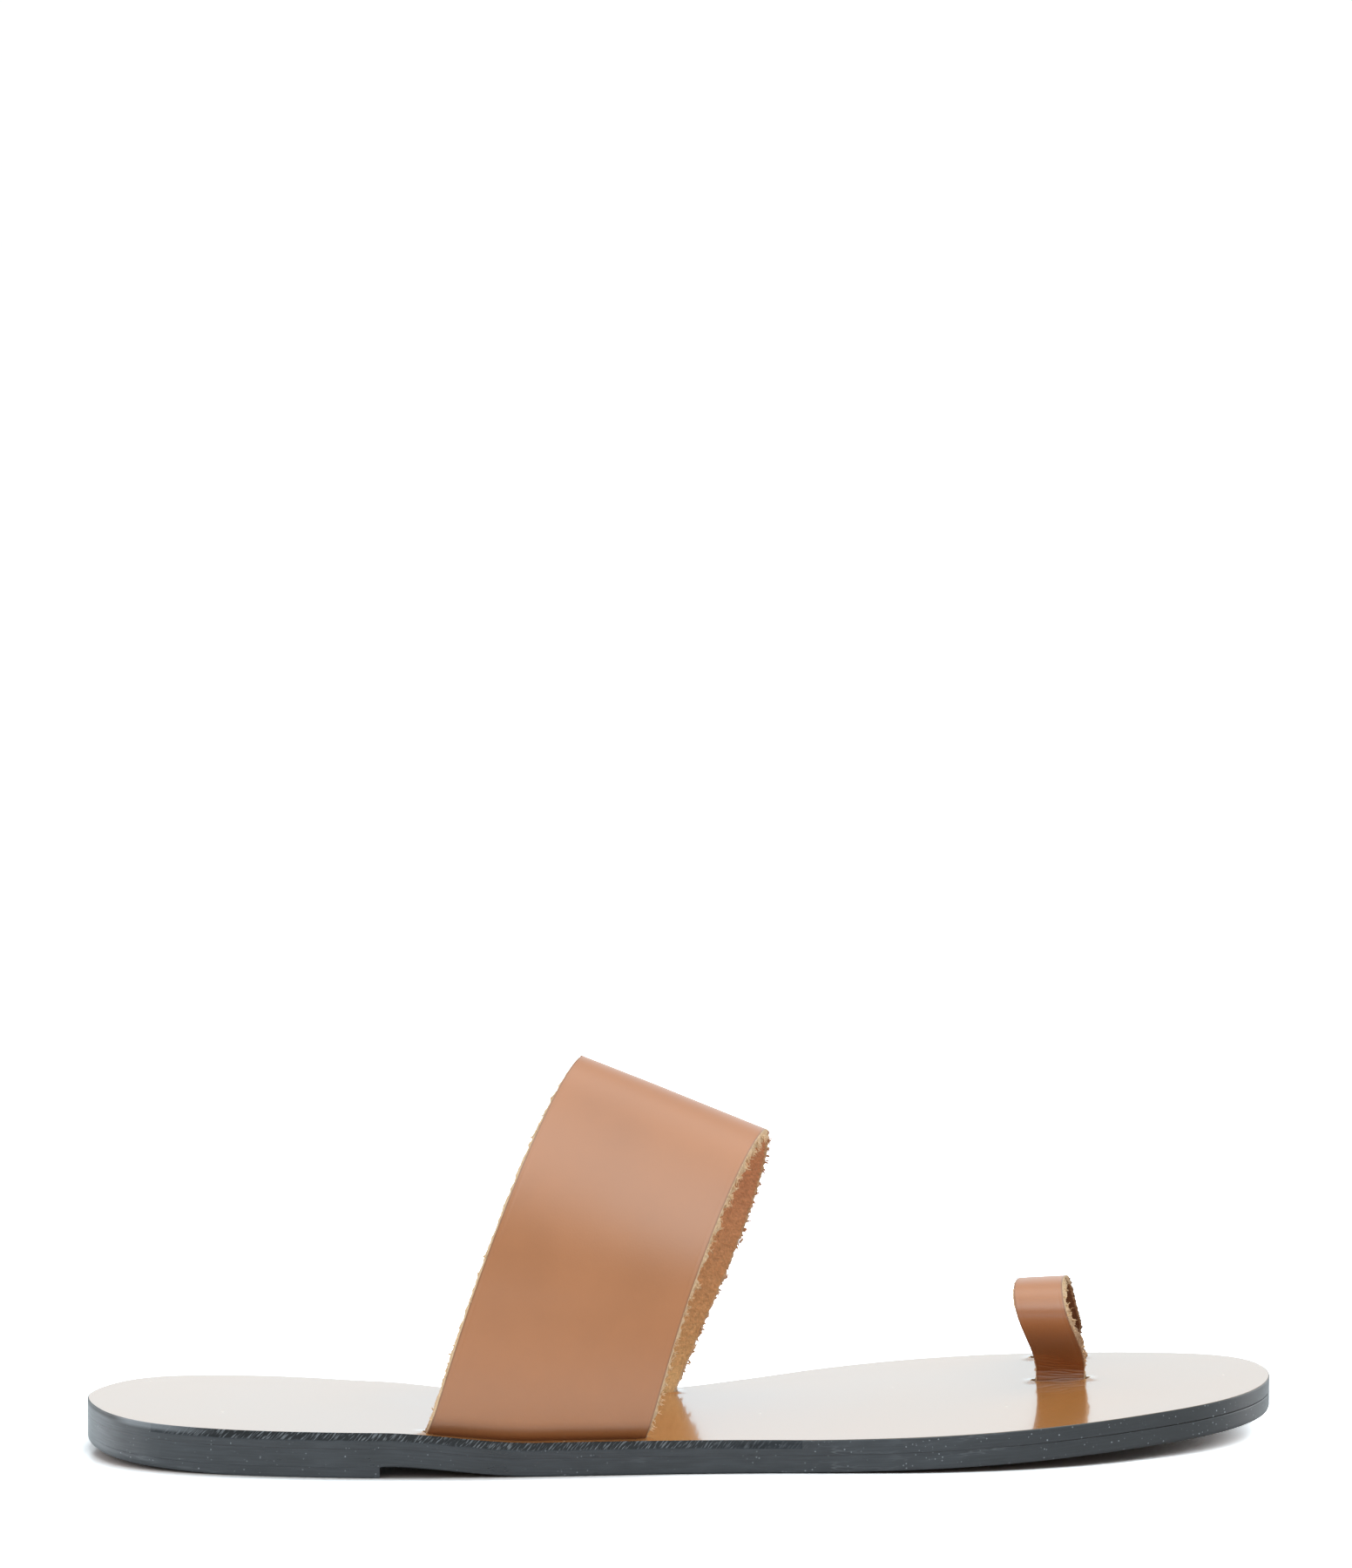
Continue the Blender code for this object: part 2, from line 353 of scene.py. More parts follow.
def slab(draft, inner, outer, rings, caps, ring_finish, marks=None):
    """Adds one layer of the sole: rings of points down its edge, rows of faces across its top and bottom.

    rings are pairs of functions of the length along the sole, for the inset and the height.
    caps give, for the top and the bottom, the height's function, the columns across and the finish.
    ring_finish gives the finish between each two rings, or a function of the length along the sole.
    marks are named functions of the length along the sole, kept on the edge's points for the materials.
    """
    rows = len(inner) - 1
    pointed = np.allclose(inner[-1], outer[-1])
    columns = caps[0][1]
    breast = np.linspace(inner[-1], outer[-1], columns + 1)[1:-1]
    loop = np.vstack([inner, outer[rows - 1 : 0 : -1]] if pointed else [inner, breast, outer[:0:-1]])
    count = len(loop)
    tangent = np.roll(loop, -1, axis=0) - np.roll(loop, 1, axis=0)
    tangent /= np.linalg.norm(tangent, axis=1)[:, None]
    outward = np.column_stack([-tangent[:, 1], tangent[:, 0]])
    step = np.linalg.norm(np.roll(loop, -1, axis=0) - loop, axis=1)
    run = np.concatenate([[0.0], np.cumsum(step)])

    index, lay, last, depth = [], [], None, np.zeros(count)
    for inset, height in rings:
        place = loop - outward * (np.ones(count) * inset(loop[:, 0]))[:, None]
        points = np.column_stack([place, height(place[:, 0])])
        if last is not None:
            depth = depth + np.linalg.norm(points - last, axis=1)
        last = points
        numbers = draft.add(points)
        for label, mark in (marks or {}).items():
            draft.marks.setdefault(label, {}).update(zip(numbers.tolist(), mark(loop[:, 0]).tolist()))
        index.append(np.append(numbers, numbers[0]))
        lay.append(np.column_stack([run, np.append(depth, depth[0])]))
    for i, finish in enumerate(ring_finish):
        table, places = np.array(index[i : i + 2]), np.array(lay[i : i + 2])
        if callable(finish):
            kinds = finish(loop[:, 0])
            for c in range(count):
                draft.grid(table[:, c : c + 2], places[:, c : c + 2], int(kinds[c]))
        else:
            draft.grid(table, places, finish)

    for (height, columns, finish), ring, flip in zip(caps, (index[0], index[-1]), (False, True)):
        table = np.zeros((rows + 1, columns + 1), int)
        table[0] = ring[0]
        for r in range(1, rows + 1):
            if pointed and r == rows:
                table[r] = ring[r]
                continue
            ends = ring[r], ring[count - r]
            table[r, 0], table[r, -1] = ends
            if r == rows:
                table[r, 1:-1] = ring[r + 1 : r + columns]
                continue
            first, second = (np.array(draft.points[i][:2]) for i in ends)
            across = np.linspace(first, second, columns + 1)[1:-1]
            table[r, 1:-1] = draft.add(np.column_stack([across, height(across[:, 0])]))
        places = np.array([[draft.points[i][:2] for i in row] for row in table])
        if flip:
            table, places = table[:, ::-1], places[:, ::-1]
        draft.grid(table, places, finish)


def finish_piece(obj, node):
    """Stands the piece in for its solid on the sandal's one body."""
    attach(obj, BODY)
    if node:
        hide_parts(node)


def rasp_weight(along):
    """How much of the edge's rasped strip shows: all at the side, none at the heel's back and the toe."""
    return smooth_step(*RASP_STARTS, along) * (1.0 - smooth_step(*RASP_ENDS, along))


def bare_weight(along):
    """How much bare leather shows as a fine line along the top of the edge, from the waist to the toe."""
    return smooth_step(*BARE_STARTS, along)


def heel_shade_weight(along):
    """How much painted shade darkens the top of the edge around the back of the heel, ahead of the rasped
    strip.
    """
    return 1.0 - smooth_step(*HEEL_SHADE_ENDS, along)


def highlight_weight(along):
    """Where a painted highlight lightens the edge's top, between the back of the heel and the rasped strip.
    """
    return HIGHLIGHT_SHARE * smooth_step(*HIGHLIGHT_STARTS, along) * (1.0 - smooth_step(*HIGHLIGHT_ENDS, along))


def seam_round(along):
    """Rounding of the corners at the seam between the soles, which shows at the toe."""
    return mix(SEAM_PLAIN, SEAM_TOE, smooth_step(*SEAM_SHOWS, along))


def corner_rings(face, radius, up, steps=ROUND_CORNER):
    """Rings around a layer's rounded corner, from its wall to a face below it (up = 1) or above it (-1)."""

    def ring(inset, off):
        return lambda along: inset * radius(along), lambda along: face(along) + up * off * radius(along)

    def wall(along):
        return face(along) + up * radius(along) + up * HOLD

    return [(lambda along: 0.0 * along, wall)] + [ring(*step) for step in steps]


def make_outsole(sizes, finishes):
    """Leather outsole: painted edge, burnished lower corner, bare underside."""

    def top(along):
        return underside(along) + OUTSOLE_THICK + CLOSE

    def bottom(along):
        return underside(along) - CLOSE * (along < BREAST)

    def corner(along):
        free = smooth_step(BREAST - 1.0, BREAST + 3.0, along)
        return mix(SEAM_PLAIN, sizes.sole_round / MM, free)

    rings = corner_rings(top, seam_round, -1.0)[::-1] + corner_rings(bottom, corner, 1.0)
    rings.append((lambda along: corner(along) + BURNISHED, bottom))
    draft = Draft()
    caps = ((top, HIDDEN_COLUMNS, 1), (bottom, SOLE_COLUMNS // 2, 1))
    slab(draft, sole_edge(True, SOLE_ROWS), sole_edge(False, SOLE_ROWS), rings, caps, [0] * 7 + [1])
    obj = draft.make("outsole_leather", [finishes["edge_paint"], finishes["underside"]])
    finish_piece(obj, "outsole")


def make_heel_lift(sizes, finishes):
    """Thin rubber lift, flush with the outsole's edge."""

    def top(along):
        return underside(along) - JOINT + CLOSE

    def bottom(along):
        return underside(along) - JOINT - LIFT_THICK

    def round_off(along):
        """Rounder at the very back, where the heel lifts off the floor."""
        return mix(LIFT_BACK_ROUND, 1.0, smooth_step(*LIFT_BACK, along)) * sizes.lift_round / MM

    rings = corner_rings(top, lambda along: 0.0 * along + SEAM_PLAIN, -1.0, SHARP_CORNER)[::-1]
    rings += corner_rings(bottom, round_off, 1.0, FINE_CORNER)
    draft = Draft()
    rows = SOLE_ROWS // 3
    caps = ((top, SOLE_COLUMNS // 2, 1), (bottom, SOLE_COLUMNS // 2, 1))
    slab(draft, sole_edge(True, rows, BREAST), sole_edge(False, rows, BREAST), rings, caps, [0] * 8)
    obj = draft.make("heel_lift_rubber", [finishes["edge_paint"], finishes["rubber"]])
    finish_piece(obj, "heel_lift")


Slot = namedtuple("Slot", "name middle half_length half_width turn")

# How far the drawn-up top reaches from the slots' ends and sides, and how high it is at the sides
LIP_END = 1.5
LIP_PAST_END = 0.9
LIP_PAST_SIDE = 0.8
LIP_SIDES = 0.25
CUTTER_HALF = 6.0
SLOT_CORNER = 0.5


def slots():
    """The four slots that the strips' legs drop through, in millimetres on the plan."""
    found = []
    for strip in (INSTEP_STRAP, TOE_LOOP):
        for side in ("outer", "inner"):
            rear, front = (
                np.array([getattr(edge, f"{side}_along"), getattr(edge, f"{side}_across")])
                for edge in (strip.rear, strip.front)
            )
            reach = front - rear
            half = np.linalg.norm(reach) / 2 + strip.slot_end
            width = strip.thick / 2 + SLOT_ROOM
            turn = math.atan2(*reach[::-1])
            found.append(Slot(f"{strip.node}_{side}", (rear + front) / 2, half, width, turn))
    return found


def slot_frame(slot, along, across):
    """Places on the plan as lengths along and across one slot."""
    cosine, sine = math.cos(slot.turn), math.sin(slot.turn)
    x, y = along - slot.middle[0], across - slot.middle[1]
    return x * cosine + y * sine, y * cosine - x * sine


def slot_lift(sizes, along, across):
    """How far the polished top is drawn up around the slots, most of all at their ends."""
    lift = np.zeros_like(along)
    for slot in slots():
        t, n = slot_frame(slot, along, across)
        past_end = np.maximum(np.abs(t) - slot.half_length, 0.0)
        past_side = np.maximum(np.abs(n) - slot.half_width, 0.0)
        near_end = np.exp(-(((np.abs(t) - slot.half_length) / LIP_END) ** 2))
        close_by = np.exp(-((past_end / LIP_PAST_END) ** 2) - (past_side / LIP_PAST_SIDE) ** 2)
        lift += close_by * mix(LIP_SIDES, 1.0, near_end)
    return lift * sizes.slot_lip / MM


def cut_slots(obj, raw):
    """Cuts the four slots through the insole, with bare leather on their walls."""
    cutters = []
    for slot in slots():
        mesh = bpy.data.meshes.new(slot.name)
        x, y, z = slot.half_length * MM, slot.half_width * MM, CUTTER_HALF * MM
        bend = min(SLOT_CORNER * MM, y * 0.5)
        ring = [(-x, -y + bend), (-x + bend, -y), (x - bend, -y), (x, -y + bend)]
        ring += [(-a, -b) for a, b in ring]
        points = [(a, b, -z) for a, b in ring] + [(a, b, z) for a, b in ring]
        sides = [(i, (i + 1) % 8, (i + 1) % 8 + 8, i + 8) for i in range(8)]
        mesh.from_pydata(points, [], sides + [tuple(range(7, -1, -1)), tuple(range(8, 16))])
        mesh.materials.append(raw)
        cutter = bpy.data.objects.new(slot.name, mesh)
        bpy.context.scene.collection.objects.link(cutter)
        level = footbed(slot.middle[0]) - INSOLE_THICK / 2
        cutter.location = MM * (slot.middle[0] - LENGTH / 2), MM * slot.middle[1], MM * level
        cutter.rotation_euler.z = slot.turn
        cut = obj.modifiers.new(slot.name, "BOOLEAN")
        cut.operation = "DIFFERENCE"
        cut.solver = "EXACT"
        cut.material_mode = "TRANSFER"
        cut.object = cutter
        cutters.append(cutter)
    bpy.context.view_layer.update()
    shape = obj.evaluated_get(bpy.context.evaluated_depsgraph_get())
    cut_mesh = bpy.data.meshes.new_from_object(shape)
    obj.modifiers.clear()
    obj.data = cut_mesh
    for cutter in cutters:
        bpy.data.objects.remove(cutter, do_unlink=True)


def make_insole(sizes, finishes):
    """Polished insole with a rasped and painted edge and four slots."""

    def bottom(along):
        return footbed(along) - INSOLE_THICK - CLOSE

    def ring(row):
        def inset(along):
            return mix(row.plain_inset, row.rasped_inset, rasp_weight(along))

        def height(along):
            return footbed(along) - mix(row.plain_drop, row.rasped_drop, rasp_weight(along))

        return inset, height

    def strip_finish(along):
        """The rasped strip is dull, the rest of the edge has a gleam."""
        return np.where(rasp_weight(along) > RASP_DULLS, 3, 1)

    rings = [ring(row) for row in INSOLE_EDGE] + corner_rings(bottom, seam_round, 1.0)
    draft = Draft()
    caps = ((footbed, SOLE_COLUMNS, 0), (bottom, HIDDEN_COLUMNS, 2))
    ring_finish = [1] + [strip_finish] * 6 + [1] * (len(rings) - 8)
    inner, outer = sole_edge(True, SOLE_ROWS), sole_edge(False, SOLE_ROWS)
    # Two of these marks carry painted shade and a painted highlight for the edge near the heel
    marks = {"rasp": rasp_weight, "bare": bare_weight, "heel": heel_shade_weight, "painted_highlight": highlight_weight}
    slab(draft, inner, outer, rings, caps, ring_finish, marks)
    places = np.array(draft.points)
    on_top = np.abs(places[:, 2] - footbed(places[:, 0])) < HAIR
    places[on_top, 2] += slot_lift(sizes, places[on_top, 0], places[on_top, 1])
    draft.points = [tuple(p) for p in places]
    names = ("footbed", "edge_paint", "cut_edge", "rasped_edge")
    obj = draft.make("insole_leather", [finishes[name] for name in names], crease=15.0)
    cut_slots(obj, finishes["cut_edge"])
    finish_piece(obj, "insole")


def strip_middle(strip, shares):
    """Middle surface of a strip, from the outer leg over the arch to the inner, a column for each share."""
    rear, front = np.array(strip.rear), np.array(strip.front)
    edge = StripEdge(*(rear + (front - rear) * shares[:, None]).T)
    middle = (edge.outer_across + edge.inner_across) / 2
    base = (edge.inner_across - edge.outer_across) / 2
    dip = np.arccos(base / edge.half_width)
    rise = edge.crest - footbed((edge.outer_along + edge.inner_along) / 2)
    reach = rise / (1.0 + np.sin(dip))
    step = np.linspace(0.0, 1.0, strip.steps + 1)[:, None]
    step = step - strip.crowd * np.sin(2.0 * math.pi * step) / (2.0 * math.pi)
    angle = math.pi + dip - (math.pi + 2.0 * dip) * step
    swing = np.cos(angle)
    ease = strip.ease
    if ease:
        swing = np.where(np.sin(angle) > 0.0, np.abs(swing) ** ease.shoulder * np.sign(swing), swing)
    leg = np.linspace(-INSOLE_THICK, 0.0, LEG_STEPS + 1)[:-1, None] * np.ones_like(shares)
    still = np.ones_like(leg)
    arch = middle + edge.half_width * swing
    across = np.vstack([still * edge.outer_across, arch, still * edge.inner_across])
    height = np.vstack([leg, reach * (np.sin(dip) + np.sin(angle)), leg[::-1]])
    share = height / rise
    if ease:
        off = across - middle
        beyond = np.maximum(np.abs(off) - base, 0.0) * (1.0 - smooth_step(0.0, ease.straight, share))
        across = across - np.sign(off) * beyond - ease.slump * smooth_step(ease.slump_foot, 1.0, share)
    place = (across - edge.outer_across) / (2.0 * base)
    entry = mix(edge.outer_along, edge.inner_along, place)
    lean = np.radians(mix(edge.outer_lean, edge.inner_lean, place))
    along = entry + np.maximum(height, 0.0) * np.tan(lean)
    if ease:
        foot = mix(ease.outer_foot, ease.inner_foot, place)
        along = entry + rise * smooth_step(foot, ease.top, share) * np.tan(lean)
        far_half = smooth_step(*FAR_TURN, np.vstack([0.0 * leg, step * np.ones_like(shares), still]))
        along = along + ease.far_reach * far_half * smooth_step(*FAR_FOOT, share)
    middle = np.stack([along, across, footbed(entry) + height], axis=-1)
    if ease:
        above = smooth_step(*SOFTEN_STARTS, height)[..., None]
        middle = mix(middle, soften(middle, SOFTEN_ROWS), above)
    return middle, height


def soften(field, rows):
    """Evens out a strip's bends along its length."""
    reach = np.arange(-3 * rows, 3 * rows + 1)
    weight = np.exp(-0.5 * (reach / rows) ** 2)
    padded = np.pad(field, ((3 * rows, 3 * rows), (0, 0), (0, 0)), mode="edge")
    total = sum(w * padded[i : i + len(field)] for i, w in enumerate(weight))
    return total / weight.sum()


def strip_profile(strip, width):
    """One turn around a strip's section: shares of its width, heights off the middle, roughness, finish."""
    half = strip.thick / 2
    inner = np.linspace(0.0, 1.0, strip.columns + 2)[1:-1]
    roll = [
        (row.inset / width, half - row.drop, CUT if row.inset < CUT_REACH else GRAIN)
        for row in GRAIN_ROLL
    ]
    turn = [(share, off, 0.0, side) for share, off, side in roll]
    start = GRAIN_ROLL[-1].inset / width
    turn += [(mix(start, 1.0 - start, share), half, 0.0, GRAIN) for share in inner]
    turn += [(1.0 - share, off, 0.0, side) for share, off, side in roll[::-1]]
    top, low = half - GRAIN_ROLL[0].drop, FLESH_ROLL[0].drop - half
    cut = [(i + 1) / CUT_STEPS for i in range(CUT_STEPS - 1)]
    turn += [(1.0, mix(top, low, share), 0.25 + 0.75 * share, CUT) for share in cut]
    turn += [(1.0 - row.inset / width, row.drop - half, 1.0, CUT) for row in FLESH_ROLL[:2]]
    turn += [(1.0 - row.inset / width, row.drop - half, 0.5, FLESH) for row in FLESH_ROLL[2:]]
    start = FLESH_ROLL[-1].inset / width
    turn += [(mix(1.0 - start, start, share), -half, 0.2, FLESH) for share in inner]
    turn += [(row.inset / width, row.drop - half, 0.5, FLESH) for row in FLESH_ROLL[:1:-1]]
    turn += [(row.inset / width, row.drop - half, 1.0, CUT) for row in FLESH_ROLL[1::-1]]
    turn += [(0.0, mix(low, top, share), 1.0 - 0.75 * share, CUT) for share in cut]
    return [np.array(column) for column in zip(*turn)]


def strip_bulge(bulge, height):
    """How far a strip stands out over its feet: a round shoulder that dies away up the arch."""
    shoulder = smooth_step(bulge.foot, bulge.full, height)
    return bulge.reach * shoulder * (1.0 - smooth_step(bulge.full, bulge.gone, height))


def far_share(rows):
    """How far each row of a strip lies on its far, inner half."""
    return smooth_step(*FAR_HALF, np.linspace(0.0, 1.0, rows))


def strip_shape(strip, sizes, creases=()):
    """All points of a strip around its profile, with its outward and forward directions."""
    middle, _ = strip_middle(strip, np.array([0.0, 0.5, 1.0]))
    width = float(np.mean(np.linalg.norm(middle[:, 2] - middle[:, 0], axis=-1)))
    shares, offset, rough, finish = strip_profile(strip, width)
    points, height = strip_middle(strip, shares)
    even = np.linspace(0.0, 1.0, 9)
    coarse, _ = strip_middle(strip, even)
    along = np.gradient(coarse, axis=0)
    forward = np.gradient(coarse, axis=1)
    outward = np.cross(forward, along)
    outward /= np.linalg.norm(outward, axis=-1, keepdims=True)
    forward /= np.linalg.norm(forward, axis=-1, keepdims=True)

    def spread(field):
        """Reads a field known at even shares at each profile column's share."""
        flat = np.empty(points.shape)
        for axis in range(3):
            for row in range(len(points)):
                flat[row, :, axis] = np.interp(shares, even, field[row, :, axis])
        return flat

    outward, forward = spread(outward), spread(forward)
    points = points + outward * offset[:, None]
    slope = np.clip(0.5 - offset / strip.thick, 0.0, 1.0)
    near_front = np.clip(1.0 - (1.0 - shares) * width / BEVEL_REACH, 0.0, 1.0) * strip.front_bevel
    near_rear = np.clip(1.0 - shares * width / BEVEL_REACH, 0.0, 1.0) * strip.rear_bevel
    clumps = lumps(points[:, 0] + np.array([0.0, 0.0, 7.0]), 1.7) + 0.7 * lumps(points[:, 0], 0.8)
    near_half = 1.0 - FAR_EVEN * far_share(len(points))
    low = mix(RAGGED_FOOT, 1.0, smooth_step(*RAGGED_FULL, height[:, 0]))
    ragged = (near_half * low * np.clip(0.9 + 0.8 * clumps, 0.35, 1.7))[:, None]
    points = points + forward * (slope * (near_front - near_rear) * ragged)[..., None]
    points = points + outward * strip_bulge(strip.bulge, height)[..., None]
    fray = sizes.fray / MM
    flat = points.reshape(-1, 3)
    grit = (0.6 * lumps(flat, 0.45) + 0.7 * lumps(flat, 1.3)).reshape(height.shape)
    face = np.where(shares < 0.5, -1.0, 1.0) * (finish == CUT)
    points = points + forward * (grit * rough * face * fray)[..., None]
    points = points + outward * (grit * rough * (finish == FLESH) * fray * 0.5)[..., None]
    for crease in creases:
        points = points - outward * (crease_depth(crease, height, shares) * (offset > 0))[..., None]
    return points, height, outward, forward, shares, finish, width


Crease = namedtuple("Crease", "height depth spread start end slant")
LOOP_CREASES = (
    Crease(0.40, 0.08, 0.22, 0.00, 1.00, 0.30),
    Crease(1.10, 0.10, 0.24, 0.00, 0.85, -0.70),
    Crease(1.75, 0.14, 0.24, 0.30, 1.00, -0.60),
    Crease(2.40, 0.17, 0.26, 0.00, 0.75, -1.20),
    Crease(3.10, 0.16, 0.26, 0.30, 1.00, -1.00),
    Crease(3.80, 0.15, 0.28, 0.00, 0.65, -1.50),
    Crease(4.55, 0.14, 0.28, 0.15, 0.85, -1.30),
    Crease(5.35, 0.12, 0.30, 0.00, 0.55, -1.50),
    Crease(6.20, 0.09, 0.30, 0.05, 0.50, -1.20),
)


def crease_depth(crease, height, shares, above=0.0):
    """Depth of one soft trough across a strip, or of the band just above it where painted shade lies,
    fading out at its ends.
    """
    sway = 0.12 * np.sin(9.0 * shares + 7.0 * crease.height) + crease.slant * (shares - 0.5)
    trough = np.exp(-(((height - crease.height - above - sway) / crease.spread) ** 2))
    fade = smooth_step(crease.start - 0.12, crease.start + 0.08, shares)
    fade = fade * (1.0 - smooth_step(crease.end - 0.08, crease.end + 0.12, shares))
    return crease.depth * trough * fade


def make_strip(strip, sizes, finishes, creases=()):
    """A strip of leather: smooth grain outside, suede inside, frayed cut edges."""
    points, height, outward, forward, shares, finish, width = strip_shape(strip, sizes, creases)
    rows, columns = points.shape[:2]
    draft = Draft()
    index = draft.add(points.reshape(-1, 3)).reshape(rows, columns)
    index = np.column_stack([index, index[:, 0]])
    steps = np.linalg.norm(np.diff(points[:, columns // 4], axis=0), axis=1)
    run = np.concatenate([[0.0], np.cumsum(steps)])
    turn = np.append(shares * width, shares[0] * width)
    inset = np.minimum(shares, 1.0 - shares) * width
    draft.mark("rim", np.tile(1.0 - smooth_step(*RIM, inset), rows))
    # Painted shade where the strip turns under, over the far half and on the suede inside
    painted_tuck_shade = 1.0 - smooth_step(strip.tuck.full, strip.tuck.gone, height)
    painted_tuck_shade = painted_tuck_shade * mix(strip.tuck.foot, 1.0, smooth_step(0.0, strip.tuck.full, height))
    far = far_share(rows)[:, None]
    painted_tuck_shade = np.where(finish == CUT, mix(painted_tuck_shade, strip.tuck.inside, far), painted_tuck_shade * (1.0 - far))
    painted_tuck_shade = np.where(finish == FLESH, strip.tuck.inside, painted_tuck_shade)
    # Painted shade just above each crease
    crease_shades = sum((crease_depth(c, height, shares, CREASE_SHADE_ABOVE) for c in creases), np.zeros(height.shape))
    draft.mark("crease_shade", crease_shades * CREASE_SHADE_GAIN * (1.0 - far))
    draft.mark("tuck", painted_tuck_shade)
    lay = np.stack(np.broadcast_arrays(run[:, None], turn[None, :]), axis=-1)
    for c in range(columns):
        beside = finish[(c + 1) % columns]
        kind = CUT if CUT in (finish[c], beside) else int(finish[c])
        draft.grid(index[:, c : c + 2][:, ::-1], lay[:, c : c + 2][:, ::-1], kind)
    for row in (0, rows - 1):
        turned = slice(None, None, 1 if row == 0 else -1)
        end = [int(i) for i in index[row, :-1]]
        draft.face(end[turned], lay[row, :-1][turned], CUT)
    materials = [finishes["grain"], finishes["cut_edge"], finishes["suede"]]
    obj = draft.make(f"{strip.node}_leather", materials, crease=60.0)
    finish_piece(obj, strip.node)
    return points, outward, forward, shares, finish


FibreRow = namedtuple("FibreRow", "per_mm shortest longest radius curl strands")
FUZZ = (
    FibreRow(3.5, 0.15, 0.45, 0.050, 0.8, 1),
    FibreRow(0.9, 0.55, 1.45, 0.130, 0.8, 5),
    FibreRow(0.3, 0.80, 1.60, 0.050, 1.4, 1),
    FibreRow(0.02, 2.40, 3.60, 0.080, 2.4, 1),
)
REAR_FUZZ = 0.65
REAR_SHARE = 0.3
FAR_CALM = 0.4
# Share of a strip's inside painted shade that its loose fibres take
FIBRE_TUCK_SHADE = 0.8
FIBRE_JOINTS = 5
FIBRE_END_GAP = 0.6
FIBRE_LOW = 0.6
FIBRE_OUT = (0.35, 1.0)
FIBRE_ASIDE = (-0.9, 0.9)
FIBRE_DOWN = (-0.3, 0.8)
FIBRE_STRAY = 0.25
FIBRE_ROOT = 0.08
FIBRE_TAPER = 0.75


def make_fibres(strip, shape, sizes, finishes, seed):
    """Loose fibres along a strip's cut edges, as one mesh of fine tapered strands."""
    points, outward, forward, shares, finish = shape
    draw = random.Random(seed)
    draft = Draft()
    scale = sizes.fibre_length
    for side in (0.0, 1.0):
        cut = [c for c in range(len(shares)) if finish[c] == CUT and abs(shares[c] - side) < 0.2]
        if not side:
            cut = cut[::-1]
        steps = np.linalg.norm(np.diff(points[LEG_STEPS:-LEG_STEPS, cut[0]], axis=0), axis=1)
        run = np.concatenate([[0.0], np.cumsum(steps)])
        out_sign = 1.0 if side else -1.0
        for kind in FUZZ:
            for _ in range(round(run[-1] * kind.per_mm * (1.0 if side else REAR_SHARE))):
                spot = draw.uniform(FIBRE_END_GAP, run[-1] - FIBRE_END_GAP)
                row = LEG_STEPS + int(np.searchsorted(run, spot))
                column = cut[min(int(draw.random() ** FIBRE_LOW * len(cut)), len(cut) - 1)]
                out, normal = forward[row, column] * out_sign, outward[row, column]
                aside = np.cross(out, normal)
                heading = out * draw.uniform(*FIBRE_OUT) + aside * draw.uniform(*FIBRE_ASIDE)
                heading = heading - normal * draw.uniform(*FIBRE_DOWN)
                # Fibres on the far half take the suede finish with painted shade, standing in for pale
                # fibres seen in shade
                far_in_shade = int(row > 0.5 * len(points))
                calm = strip.fuzz * (1.0 if side else REAR_FUZZ)
                calm = calm * (1.0 - FAR_CALM * strip.tuck.inside * far_in_shade)
                for _ in range(kind.strands):
                    shift = np.array([draw.gauss(0.0, 0.9 * kind.radius) for _ in range(3)])
                    length = draw.uniform(kind.shortest, kind.longest) * scale * calm
                    strand(draft, draw, points[row, column] + shift, heading, normal, length, kind, far_in_shade)
    # Painted shade on the fibres, following the strip's inside
    draft.mark("tuck", np.full(len(draft.points), FIBRE_TUCK_SHADE * strip.tuck.inside))
    obj = draft.make(f"{strip.node}_fibres", [finishes["fibre"], finishes["suede"]], crease=180.0)
    finish_piece(obj, None)


def strand(draft, draw, base, heading, normal, length, kind, far_in_shade):
    """One tapered fibre with a random curl, three sides around."""
    heading = heading + np.array([draw.gauss(0.0, FIBRE_STRAY) for _ in range(3)])
    heading /= np.linalg.norm(heading)
    side = np.cross(heading, normal)
    swing = np.array([draw.gauss(0.0, 1.0) for _ in range(3)]) * kind.curl
    place = base - heading * FIBRE_ROOT
    rings = []
    for joint in range(FIBRE_JOINTS):
        share = joint / (FIBRE_JOINTS - 1)
        across = np.cross(heading, normal + 0.3 * side)
        across /= np.linalg.norm(across)
        rise = np.cross(heading, across)
        radius = kind.radius * (1.0 - FIBRE_TAPER * share)
        corners = [
            place + radius * (math.cos(a) * across + math.sin(a) * rise)
            for a in (0.0, 2.0 * math.pi / 3, 4.0 * math.pi / 3)
        ]
        rings.append(draft.add(corners))
        place = place + heading * length / (FIBRE_JOINTS - 1)
        heading = heading + swing / (FIBRE_JOINTS - 1)
        heading /= np.linalg.norm(heading)
    lay = ((0.0, 0.0), (0.0, 1.0), (1.0, 1.0), (1.0, 0.0))
    for low, high in zip(rings, rings[1:]):
        for i in range(3):
            draft.face([low[i], low[(i + 1) % 3], high[(i + 1) % 3], high[i]], lay, far_in_shade)
    draft.face(list(rings[0][::-1]), lay, far_in_shade)
    draft.face(list(rings[-1]), lay, far_in_shade)


Sliver = namedtuple("Sliver", "root reach width tip low lift curl fall aside")
SLIVER = Sliver(-0.15, 0.8, 0.38, 0.05, 0.10, 0.34, 0.15, 0.4, 0.35)
SLIVER_SHARES = (0.0, 0.35, 0.7, 1.0)
SLIVER_SECTION = ((-1.0, 0.1), (0.0, 0.0), (1.0, 0.1), (0.0, 0.3))


